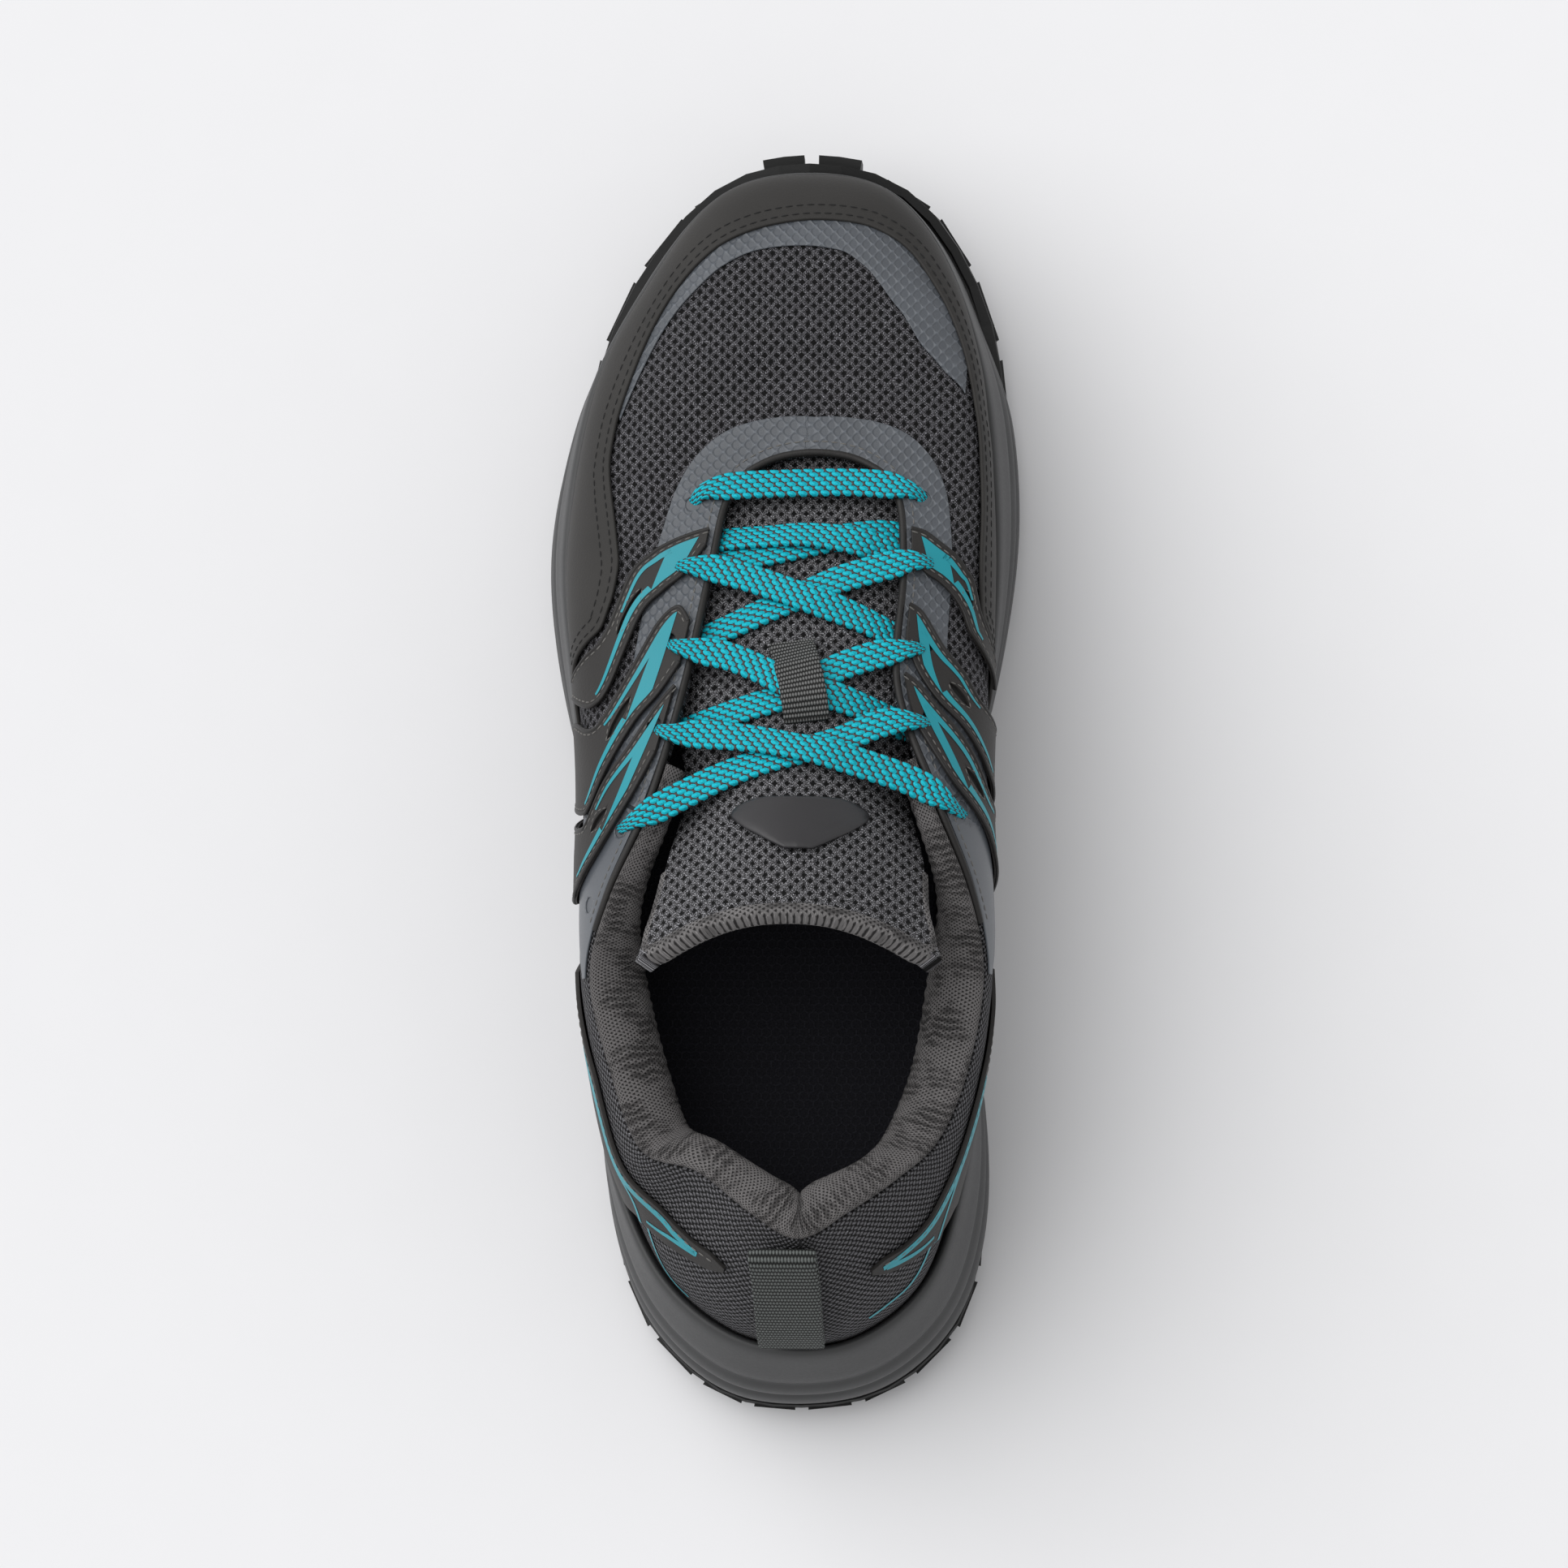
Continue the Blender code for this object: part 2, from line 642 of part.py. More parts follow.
def make_midsole(finish):
    """Foam sole with stepped sides, a rim round the upper and a dished footbed."""
    bm = bmesh.new()
    loops = [add_loop(bm, [side_point(u, 0, 0.3, toe_inset(u) + 0.0016) for u in ring_us()])]
    for step in SIDE_STEPS:
        points = []
        for u in ring_us():
            plain = toe_inset(u) / (TOE_WRAP_THICKNESS + CLEARANCE)
            points.append(side_point(u, step.up, step.inward, toe_inset(u) + step.groove * (1 - plain)))
        loops.append(add_loop(bm, points))
    inner_top, crest = [], []
    for u in ring_us():
        v = v_at_height(u, feather_height(u) + RIM_RISE * 0.7)
        place = upper_point(u, v, CLEARANCE * 1.5)
        inner_top.append(place)
        crest.append(place - inward("feather", u) * RIM_WIDTH * 0.42 + Vector((0, 0, RIM_RISE * 0.3)))
    floor = []
    for u in ring_us():
        place = upper_curve(u, 0) - inward("feather", u) * CLEARANCE * 1.5
        place.z = feather_height(u) - RECESS_DEPTH
        floor.append(place)
    for points in (crest, inner_top, floor):
        loops.append(add_loop(bm, points))
    for first, second in zip(loops, loops[1:]):
        bridge(bm, first, second)
    ladder(bm, loops[0], lambda place, share: rubber_top(place.y) + CLEARANCE * 1.6, 3)
    ladder(bm, loops[-1], lambda place, share: place.z - FOOTBED_DISH * share, 2)
    return new_object("midsole", bm, finish)


def toe_inset(u):
    """The foam stays behind the rubber that climbs the toe."""
    share = 1 - smooth((abs(u - TOE) - TOE_WRAP_REACH) / 0.8)
    return (TOE_WRAP_THICKNESS + CLEARANCE) * share


def make_outsole(finish):
    """Rubber tread with lugs, which climbs the toe as a bumper."""
    bm = bmesh.new()
    under, edge, low_side, high_side, crest, foot = [], [], [], [], [], []
    for u in ring_us():
        in_to = inward("sole", u)
        outline = plan_point("sole", u)
        side_height = feather_height(u) + RIM_RISE * 0.6 - rubber_top(outline.y) - CLEARANCE
        climb = toe_wrap(u) / side_height
        corner = outline + in_to * 0.0024
        under.append(Vector((corner.x, corner.y, rubber_under(corner.y))))
        edge.append(Vector((outline.x, outline.y, rubber_under(outline.y) + 0.0007)))
        low_side.append(Vector((outline.x, outline.y, rubber_top(outline.y) - 0.0008)))
        top = side_point(u, climb, 0.05 + climb * 0.6, 0.0)
        top.z -= CLEARANCE * 1.6
        high_side.append(top)
        behind = top + in_to * TOE_WRAP_THICKNESS * 0.8
        behind.z += rubber_top(behind.y) - rubber_top(top.y)
        crest.append(behind)
        inner = side_point(u, 0, 0.05, TOE_WRAP_THICKNESS)
        inner.z -= CLEARANCE * 1.6
        foot.append(inner)
    loops = [add_loop(bm, points) for points in (under, edge, low_side, high_side, crest, foot)]
    for first, second in zip(loops, loops[1:]):
        bridge(bm, first, second)
    ladder(bm, loops[0], lambda place, share: rubber_under(place.y), 3)
    ladder(bm, loops[-1], lambda place, share: rubber_top(place.y), 3)
    obj = new_object("outsole", bm, finish)
    boolean(obj, "UNION", make_lugs())
    return obj


def add_lug(bm, corners, taper, top_rise):
    """A block from inside the rubber down to the floor, narrower at its tip."""
    middle = sum(corners, Vector()) / len(corners)
    roots = [Vector((c.x, c.y, rubber_under(c.y) + top_rise)) for c in corners]
    tips = []
    for corner in corners:
        place = middle.lerp(corner, taper)
        tips.append(Vector((place.x, place.y, ground_lift(place.y))))
    first, second = add_loop(bm, roots), add_loop(bm, tips)
    bridge(bm, first, second)
    bm.faces.new(first)
    bm.faces.new(reversed(second))


def outline_across(y):
    """Where the sole's outline crosses a line over the sole, on the outer and the inner side."""
    sides = []
    for low, high in ((0, TOE), (2 * TOE, TOE)):
        for _ in range(24):
            middle = (low + high) / 2
            if plan_point("sole", middle).y < y:
                low = middle
            else:
                high = middle
        sides.append(plan_point("sole", low).x)
    return sides


def make_lugs():
    """Blocks round the rim, chevrons between them, and bare foam's rubber under the arch."""
    bm = bmesh.new()
    arch = (-0.150 * SOLE_LENGTH, 0.075 * SOLE_LENGTH)
    for index in range(RIM_LUGS):
        u0 = (index + 0.12) * len(SECTIONS) / RIM_LUGS
        u1 = (index + 0.88) * len(SECTIONS) / RIM_LUGS
        middle = (u0 + u1) / 2
        if arch[0] < plan_point("sole", middle).y < arch[1] or abs(middle - TOE) < 0.5:
            continue
        outer = [plan_point("sole", u) - inward("sole", u) * 0.0006 for u in (u0, u1)]
        depth = RIM_LUG_DEPTH * (1 if index % 2 else 0.8)
        inner = [plan_point("sole", u) + inward("sole", u) * depth for u in (u1, u0)]
        add_lug(bm, outer + inner, 0.86, RUBBER_THICKNESS * 0.5)
    rows = int(SOLE_LENGTH * 0.86 / CHEVRON_PITCH)
    for row in range(rows):
        y = -0.43 * SOLE_LENGTH + row * CHEVRON_PITCH
        if arch[0] < y < arch[1]:
            continue
        left, right = (x for x in outline_across(y))
        room = right - left - 2 * (RIM_LUG_DEPTH + 0.003)
        count = max(1, int(room / (CHEVRON_WIDTH + 0.0025)))
        way = 1 if y > 0 else -1
        for index in range(count):
            x = (left + right) / 2 + (index - (count - 1) / 2) * (CHEVRON_WIDTH + 0.0035)
            corners = []
            for across, along in CHEVRON:
                corners.append(Vector((x + across * CHEVRON_WIDTH, y + along * CHEVRON_WIDTH * way, 0)))
            add_lug(bm, corners if way > 0 else corners[::-1], 0.82, RUBBER_THICKNESS * 0.5)
    for side in (-1, 1):
        us = [TOE + side * share for share in (0.07, 0.26, 0.46)]
        rings = []
        for deep, rise, proud in TOE_LUG_STEPS:
            ring = [plan_point("sole", u) - inward("sole", u) * proud for u in us]
            ring += [plan_point("sole", u) + inward("sole", u) * deep for u in reversed(us)]
            for place in ring:
                place.z = rubber_under(place.y) + rise
            rings.append(add_loop(bm, ring))
        for first, second in zip(rings, rings[1:]):
            bridge(bm, first, second)
        bm.faces.new(rings[0])
        bm.faces.new(rings[-1])
    obj = new_object("lugs", bm, None, "cutters")
    hide(obj)
    return obj


def make_insole(finish):
    """Sock liner on the footbed, inside the upper's wall."""
    bm = bmesh.new()
    floor = -RECESS_DEPTH + CLEARANCE
    loops = []
    for rise, pull in ((0.0, 0.0), (INSOLE_THICKNESS - 0.0008, 0.0), (INSOLE_THICKNESS, 0.0009)):
        points = []
        for u in ring_us():
            inset = UPPER_WALL + INSOLE_MARGIN + pull
            place = plan_point("feather", u) + inward("feather", u) * inset
            place.z = feather_height(u) + floor + rise
            points.append(place)
        loops.append(add_loop(bm, points))
    for first, second in zip(loops, loops[1:]):
        bridge(bm, first, second)
    for loop in (loops[0], loops[-1]):
        ladder(bm, loop, lambda place, share: place.z - FOOTBED_DISH * share, 2)
    return new_object("insole", bm, finish)


# Upper

def make_upper(finish, holes):
    """One hollow shell, open underneath and along collar and throat."""
    bm = bmesh.new()
    loops = []
    for row in range(UPPER_ROWS + 1):
        v = row / UPPER_ROWS
        loops.append(add_loop(bm, [upper_curve(u, v) for u in ring_us()]))
    for first, second in zip(loops, loops[1:]):
        bridge(bm, first, second)
    obj = new_object("upper", bm, finish)
    face_outwards(obj, from_core)
    solidify = obj.modifiers.new("wall", "SOLIDIFY")
    solidify.thickness = UPPER_WALL
    solidify.offset = -1
    solidify.use_even_offset = True
    boolean(obj, "DIFFERENCE", holes)
    return obj


def make_eyelet_holes():
    """Cutters for the five pairs of lace holes, square to the upper."""
    bm = bmesh.new()
    for eyelet in EYELETS:
        for u, v in ((eyelet.outer, eyelet.outer_share), (eyelet.inner, eyelet.inner_share)):
            normal = upper_normal(u, v)
            frame = normal.to_track_quat("Z", "Y").to_matrix().to_4x4()
            frame.translation = upper_curve(u, v)
            bmesh.ops.create_cone(
                bm,
                cap_ends=True,
                segments=6,
                radius1=EYELET_RADIUS,
                radius2=EYELET_RADIUS,
                depth=0.012,
                matrix=frame,
            )
    obj = new_object("eyelet_holes", bm, None, "cutters")
    hide(obj)
    return obj


def grid_us(start, end, table=()):
    """The ring's own steps between start and end, and those of a table, so that pieces nest."""
    us = {start, end}
    for index in range(math.ceil(start * STEPS_PER_SECTION), math.floor(end * STEPS_PER_SECTION) + 1):
        us.add(index / STEPS_PER_SECTION)
    us.update(row.section for row in table if start < row.section < end)
    ordered = sorted(us)
    kept = [ordered[0]]
    for u in ordered[1:-1]:
        if u - kept[-1] > 0.09 and end - u > 0.09:
            kept.append(u)
    return kept + [end]


def band(name, us, low, high, rows, proud, thickness, finish):
    """An overlay cut from the upper's own surface, over a row of us and from v low(u) to high(u)."""
    lines = []
    for u in us:
        bottom, top = low(u), high(u)
        lines.append([upper_point(u, bottom + (top - bottom) * row / rows, proud) for row in range(rows + 1)])
    obj = grid_sheet(name, lines, finish, thickness)
    face_outwards(obj, from_core)
    return obj


def mirror_u(u):
    return 2 * TOE - u


def make_toe_cap(finish):
    us = grid_us(CAP_EDGE[0].section, CAP_EDGE[-1].section, CAP_EDGE)

    def top(u):
        return max(table_value(CAP_EDGE, "share", u, "section"), rim_v(u) + 0.03)

    return band("toe_cap", us, rim_v, top, 3, OVERLAY_PROUD, OVERLAY_THICKNESS, finish)


def make_toe_film(finish):
    us = grid_us(TOE_FILM[0].section, TOE_FILM[-1].section, TOE_FILM)

    def bottom(u):
        return table_value(CAP_EDGE, "share", u, "section") - 0.05

    def top(u):
        return table_value(TOE_FILM, "share", u, "section")

    return band("toe_film", us, bottom, top, 2, FILM_PROUD, FILM_THICKNESS, finish)


def make_eyestay(finish, holes):
    start = EYESTAY[0].section
    us = grid_us(start, mirror_u(start))

    def bottom(u):
        return table_value(EYESTAY, "low", min(u, mirror_u(u)), "section")

    def top(u):
        return table_value(EYESTAY, "high", min(u, mirror_u(u)), "section")

    obj = band("eyestay", us, bottom, top, 2, FILM_PROUD, FILM_THICKNESS, finish)
    boolean(obj, "DIFFERENCE", holes)
    return obj


def make_side_strap(name, rows, inner_side, finish, holes):
    """A finger-shaped overlay from an eyelet down to the sole, given from its tip downwards."""
    lines = []
    for row in rows:
        front, back = (row.inner_front, row.inner_back) if inner_side else (row.front, row.back)
        lines.append([])
        for column in range(4):
            u = front + (back - front) * column / 3
            lines[-1].append(upper_point(u, max(row.share, rim_v(u)), STRAP_PROUD))
    obj = grid_sheet(name, lines, finish, OVERLAY_THICKNESS)
    face_outwards(obj, from_core)
    boolean(obj, "DIFFERENCE", holes)
    return obj


def make_heel_wing(name, inner_side, finish):
    us = grid_us(HEEL_WING[0].section, HEEL_WING[-1].section, HEEL_WING)

    def own(u):
        return mirror_u(u) if inner_side else u

    lines = []
    for u in us:
        bottom = table_value(HEEL_WING, "low", u, "section")
        top = table_value(HEEL_WING, "high", u, "section")
        bottom = max(bottom, rim_v(own(u)))
        line = [bottom + (top - bottom) * row / 2 for row in range(3)]
        lines.append([upper_point(own(u), v, OVERLAY_PROUD) for v in line])
    obj = grid_sheet(name, lines, finish, OVERLAY_THICKNESS)
    face_outwards(obj, from_core)
    return obj


def blended_normal(u, v):
    """The upper's normal, evened out along the ring so that a thick pad turns the heel's corner."""
    return sum((upper_normal(u + step, v) for step in (-0.7, -0.35, 0, 0.35, 0.7)), Vector()).normalized()


def make_collar(finish):
    """The padded roll and lining round the ankle, which rolls over the upper's top edge."""
    bm = bmesh.new()
    us = grid_us(-COLLAR_FRONT, COLLAR_FRONT)
    rings = []
    for u in us:
        pad = ring_value("pad", u) * COLLAR_PAD
        root = table_value(COLLAR_ROOT, "share", abs(u), "section")
        span = (upper_curve(u, 1) - upper_curve(u, 0.9)).length * 10
        ring = []
        for step in COLLAR_STEPS:
            v = 1 - (1 - root) * step.down + COLLAR_ROLL / span * step.rise
            place = upper_point(u, v, -(UPPER_WALL + CLEARANCE) * step.wall)
            ring.append(place - blended_normal(u, v) * pad * step.pad)
        rings.append(add_loop(bm, ring))
    for first, second in zip(rings, rings[1:]):
        bridge(bm, first, second)
    for ring in (rings[0], rings[-1]):
        bm.faces.new(ring)
    return new_object("collar_lining", bm, finish)


# Tongue

def tongue_frame(along_index):
    """Middle, half width, side and crown of the tongue's outer face at a fractional row."""
    columns = ("along", "across", "half_width", "side_up", "crown_up", "side_back")
    pitch = (len(TONGUE_ROWS) - 1) / (TONGUE_RINGS - 1)
    before = math.floor(along_index / pitch)
    part = along_index / pitch - before
    values = []
    for column in columns:
        given = [getattr(row, column) for row in TONGUE_ROWS]
        first, second = (spline(given, (before + step) * pitch, False) for step in (0, 1))
        values.append(first * (1 - part) + second * part)
    return values


def tongue_point(along_index, t, depth=0.0):
    """A point on the tongue's outer face: t runs from -1 on the outer side to 1."""
    along, across, half_width, side_up, crown_up, side_back = tongue_frame(along_index)
    arch = 1 - abs(t) ** 2.2
    return Vector(
        (
            (across + half_width * t) * BALL_WIDTH,
            (along - side_back * (1 - arch)) * SOLE_LENGTH,
            FEATHER_HEIGHT + (side_up + (crown_up - side_up) * arch) * UPPER_RISE - depth,
        )
    )


def tongue_top(x, y):
    """The height of the tongue's outer face over a point of the plan."""
    low, high = 0.0, len(TONGUE_ROWS) - 1.0
    t = 0.0
    for _ in range(30):
        middle = (low + high) / 2
        along, across, half_width = tongue_frame(middle)[:3]
        t = max(-1.0, min(1.0, (x / BALL_WIDTH - across) / half_width))
        if tongue_point(middle, t).y > y:
            low = middle
        else:
            high = middle
    return tongue_point(low, t).z


def make_tongue(finish):
    bm = bmesh.new()
    columns = [-1, -0.86, -0.62, -0.32, 0, 0.32, 0.62, 0.86, 1]
    rings = []
    for index in range(TONGUE_RINGS):
        row = index * (len(TONGUE_ROWS) - 1) / (TONGUE_RINGS - 1)
        ends = smooth(min(1.0, (index + 1) / 3))
        ring = [tongue_point(row, t) for t in columns]
        for t in reversed(columns):
            thin = (1 - 0.62 * abs(t) ** 3) * (0.4 + 0.6 * ends)
            ring.append(tongue_point(row, t, TONGUE_THICKNESS * thin))
        rings.append(add_loop(bm, ring))
    for first, second in zip(rings, rings[1:]):
        bridge(bm, first, second)
    size = len(columns)
    for ring in (rings[0], rings[-1]):
        for index in range(size - 1):
            quad = (ring[index], ring[index + 1], ring[2 * size - 2 - index], ring[2 * size - 1 - index])
            bm.faces.new(quad)
    return new_object("tongue", bm, finish)


# Laces and webbing

def up_the_tongue():
    """Square to the tongue, for what lies on it."""
    return Vector((0, 0.39, 0.92))


def lace_arm(bm, path, ups):
    across = []
    for index in range(len(path)):
        before, after = path[max(0, index - 1)], path[min(len(path) - 1, index + 1)]
        across.append((after - before).cross(ups[index]).normalized())
    ribbon(bm, path, across, LACE_WIDTH, LACE_THICKNESS)


def over_tongue(x, y, layers):
    """A point over the tongue, this many lace thicknesses up."""
    rise = CLEARANCE * 2.6 + LACE_THICKNESS * (layers + 0.5)
    return Vector((x, y, tongue_top(x, y) + rise / up_the_tongue().z))


def on_straps(u, v, layers=0.0):
    """A point over the eyelets' overlays, for the middle of a lace."""
    proud = STRAP_PROUD + OVERLAY_THICKNESS + CLEARANCE + LACE_THICKNESS * (layers + 0.5)
    return upper_point(u, v, proud)


def eyelet_place(eyelet, inner_side):
    if inner_side:
        return eyelet.inner, eyelet.inner_share
    return eyelet.outer, eyelet.outer_share


def over_edge(eyelet, inner_side, out_again):
    """From over an eyelet to over the throat's edge."""
    u, v = eyelet_place(eyelet, inner_side)
    if out_again:
        proud = FILM_PROUD + FILM_THICKNESS + CLEARANCE * 2 + LACE_THICKNESS / 2
        points = [upper_point(u, v, proud), upper_point(u, (v + 1) / 2, proud), upper_point(u, 1.08, proud)]
    else:
        points = [on_straps(u, v), on_straps(u, (v + 1) / 2, 0.1), on_straps(u, 1.0, 0.3)]
    return points, [upper_normal(u, v)] * 3


def across_tongue(start, end, layers):
    """Points between two places, on the tongue or pulled straight over it; layers: heights on it."""
    points = []
    for index, layer in enumerate(layers):
        place = start.lerp(end, (index + 0.5) / len(layers))
        resting = over_tongue(place.x, place.y, layer)
        resting.z = max(resting.z, place.z)
        points.append(resting)
    return points


def make_lace_bar(finish):
    """The straight bar between the two lowest eyelets."""
    bm = bmesh.new()
    outer, ups = over_edge(EYELETS[0], False, False)
    inner, inner_ups = over_edge(EYELETS[0], True, False)
    middle = across_tongue(outer[-1], inner[-1], [0.4] * 5)
    path = outer + middle + inner[::-1]
    lace_arm(bm, path, ups + [up_the_tongue()] * 5 + inner_ups)
    return new_object("lace_bar", bm, finish)


def make_crossing(crossing, finish):
    """Two arms of lace, one over the other and fused where they cross."""
    objects = []
    for layer, inner_side in enumerate((True, False)):
        bm = bmesh.new()
        high = 0.86 * layer
        steps = [high * 0.2, high * 0.6, high * 0.9, high]
        middle = over_tongue(crossing.middle_across * BALL_WIDTH, crossing.middle_along * SOLE_LENGTH, high)
        if inner_side:
            across, along = crossing.outer_across, crossing.outer_along
        else:
            across, along = crossing.inner_across, crossing.inner_along
        end = over_tongue(across * BALL_WIDTH, along * SOLE_LENGTH, 0)
        if crossing.eyelet is None:
            start = over_tongue(2 * middle.x - end.x, 2 * middle.y - end.y, 0)
            path = [start] + across_tongue(start, middle, steps)
            ups = []
        else:
            path, ups = over_edge(EYELETS[crossing.eyelet], inner_side, False)
            path = path + across_tongue(path[-1], middle, steps)
        if crossing.ends_at is None:
            path += across_tongue(middle, end, steps[::-1])
            path.append(end)
            far_ups = []
        else:
            far, far_ups = over_edge(EYELETS[crossing.ends_at], not inner_side, True)
            path += across_tongue(middle, far[-1], [high, max(high, 0.6), 0.7, 0.7]) + far[::-1]
        ups = ups + [up_the_tongue()] * (len(path) - len(ups) - len(far_ups)) + far_ups
        lace_arm(bm, path, ups)
        where = "shoe" if layer == 0 else "cutters"
        name = crossing.name if layer == 0 else crossing.name + "_upper_arm"
        objects.append(new_object(name, bm, finish, where))
    boolean(objects[0], "UNION", objects[1])
    hide(objects[1])


def make_keeper(finish):
    """Webbing loop on the tongue that holds the third crossing down."""
    bm = bmesh.new()
    points = []
    for step in KEEPER_STEPS:
        y = step.along * SOLE_LENGTH
        x = KEEPER_ACROSS * BALL_WIDTH
        over = CLEARANCE + KEEPER_THICKNESS / 2 + step.rise * LACE_THICKNESS
        points.append(Vector((x, y, tongue_top(x, y) + over)))
    path = smooth_path(points, 15)
    ribbon(bm, path, [Vector((1, 0, 0))] * len(path), KEEPER_WIDTH, KEEPER_THICKNESS)
    return new_object("lace_keeper", bm, finish)


def make_badge(finish):
    """A plain plate on the tongue, with no mark on it."""
    rows = []
    for share, low, high in BADGE_ROWS:
        y = (BADGE_ALONG + share * BADGE_LENGTH) * SOLE_LENGTH
        row = []
        for step in range(9):
            x = (BADGE_ACROSS + (low + (high - low) * step / 8)) * BALL_WIDTH
            row.append(Vector((x, y, tongue_top(x, y) + CLEARANCE * 2)))
        rows.append(row)
    obj = grid_sheet("tongue_badge", rows, finish, BADGE_THICKNESS)
    face_outwards(obj, upwards)
    return obj


def make_pull_tab(finish):
    """Folded webbing loop up the back of the heel."""
    bm = bmesh.new()
    points = []
    for step in PULL_STEPS:
        v = rim_v(PULL_TAB_SECTION) + (1 - rim_v(PULL_TAB_SECTION)) * step.up
        place = upper_point(PULL_TAB_SECTION, v, step.proud * PULL_TAB_STAND_OFF)
        points.append(place - Vector((PULL_TAB_LEAN * step.up, 0, 0)))
    path = smooth_path(points, 45)
    side = upper_point(PULL_TAB_SECTION + 0.1, 0.5) - upper_point(PULL_TAB_SECTION - 0.1, 0.5)
    side.z = 0
    ribbon(bm, path, [-side.normalized()] * len(path), PULL_TAB_WIDTH, PULL_TAB_THICKNESS)
    return new_object("pull_tab", bm, finish)


def clear_scene():
    for obj in list(bpy.data.objects):
        bpy.data.objects.remove(obj)
    for name in ("shoe", "cutters"):
        made = bpy.data.collections.new(name)
        bpy.context.scene.collection.children.link(made)
    bpy.data.collections["cutters"].hide_render = True


def main():
    clear_scene()
    foam = material("midsole_foam", (0.060, 0.062, 0.063), 0.75)
    rubber = material("outsole_rubber", (0.012, 0.012, 0.012), 0.7)
    mesh_fabric = material("upper_mesh", (0.035, 0.036, 0.040), 0.9)
    film = material("embossed_film", (0.080, 0.088, 0.100), 0.45)
    nubuck = material("overlay_synthetic", (0.050, 0.048, 0.045), 0.7)
    knit = material("collar_knit", (0.085, 0.082, 0.080), 0.95)
    sock = material("insole_fabric", (0.020, 0.020, 0.024), 0.95)
    webbing = material("webbing", (0.050, 0.056, 0.055), 0.8)
    lace = material("lace_yarn", (0.000, 0.300, 0.360), 0.8)
    plate = material("badge_rubber", (0.045, 0.044, 0.046), 0.6)
    holes = make_eyelet_holes()
    make_outsole(rubber)
    make_midsole(foam)
    make_insole(sock)
    make_upper(mesh_fabric, holes)
    make_toe_cap(nubuck)
    make_toe_film(film)
    make_eyestay(film, holes)
    for strap, rows in SIDE_STRAPS.items():
        make_side_strap("outer_strap_" + strap, rows, False, nubuck, holes)
        make_side_strap("inner_strap_" + strap, rows, True, nubuck, holes)
    make_heel_wing("outer_heel_wing", False, nubuck)
    make_heel_wing("inner_heel_wing", True, nubuck)
    make_collar(knit)
    make_tongue(mesh_fabric)
    make_lace_bar(lace)
    for crossing in CROSSINGS:
        make_crossing(crossing, lace)
    make_keeper(webbing)
    make_badge(plate)
    make_pull_tab(webbing)


main()
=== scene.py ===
import math

import bmesh
import bpy
import numpy as np
from mathutils import Matrix, Vector
from mathutils.bvhtree import BVHTree


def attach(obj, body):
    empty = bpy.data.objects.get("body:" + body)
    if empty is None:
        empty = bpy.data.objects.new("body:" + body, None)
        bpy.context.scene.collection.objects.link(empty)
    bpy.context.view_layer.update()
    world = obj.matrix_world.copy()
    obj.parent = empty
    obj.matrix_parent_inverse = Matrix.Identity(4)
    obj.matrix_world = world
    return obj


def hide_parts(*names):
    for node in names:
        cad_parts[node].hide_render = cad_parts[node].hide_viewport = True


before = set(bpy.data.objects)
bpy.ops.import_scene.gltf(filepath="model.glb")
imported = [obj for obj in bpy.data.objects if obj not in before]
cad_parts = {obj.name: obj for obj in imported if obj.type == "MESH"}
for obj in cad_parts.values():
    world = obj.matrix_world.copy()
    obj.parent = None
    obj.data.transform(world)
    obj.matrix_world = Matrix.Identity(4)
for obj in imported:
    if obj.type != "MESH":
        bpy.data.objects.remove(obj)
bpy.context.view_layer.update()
print("frame loaded:", len(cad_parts), "nodes")

mm = 0.001
shoe = {
    "length": 0.298,
    "width": 0.113,  # over the ball of the foot
    "footHeight": 0.042,  # floor to the line where upper and sole meet, at the heel
    "rise": 0.051,  # that line to the top of the heel collar
    "footDrop": 0.0027,  # how far the upper's lower edge sits inside the sole's rim
    "rim": 0.0032,  # how far the sole's rim stands over that line
    "wall": 0.002,
}
# Each layer's lower face over the knit, so that the pieces stack as they are sewn
layer = {"film": 0.15 * mm, "overlay": 0.50 * mm, "strap": 0.95 * mm}
bevels = {"film": 0.2 * mm, "overlay": 0.4 * mm}
underRim = 0.02  # share of the way up that an overlay's lower end goes behind the sole's rim

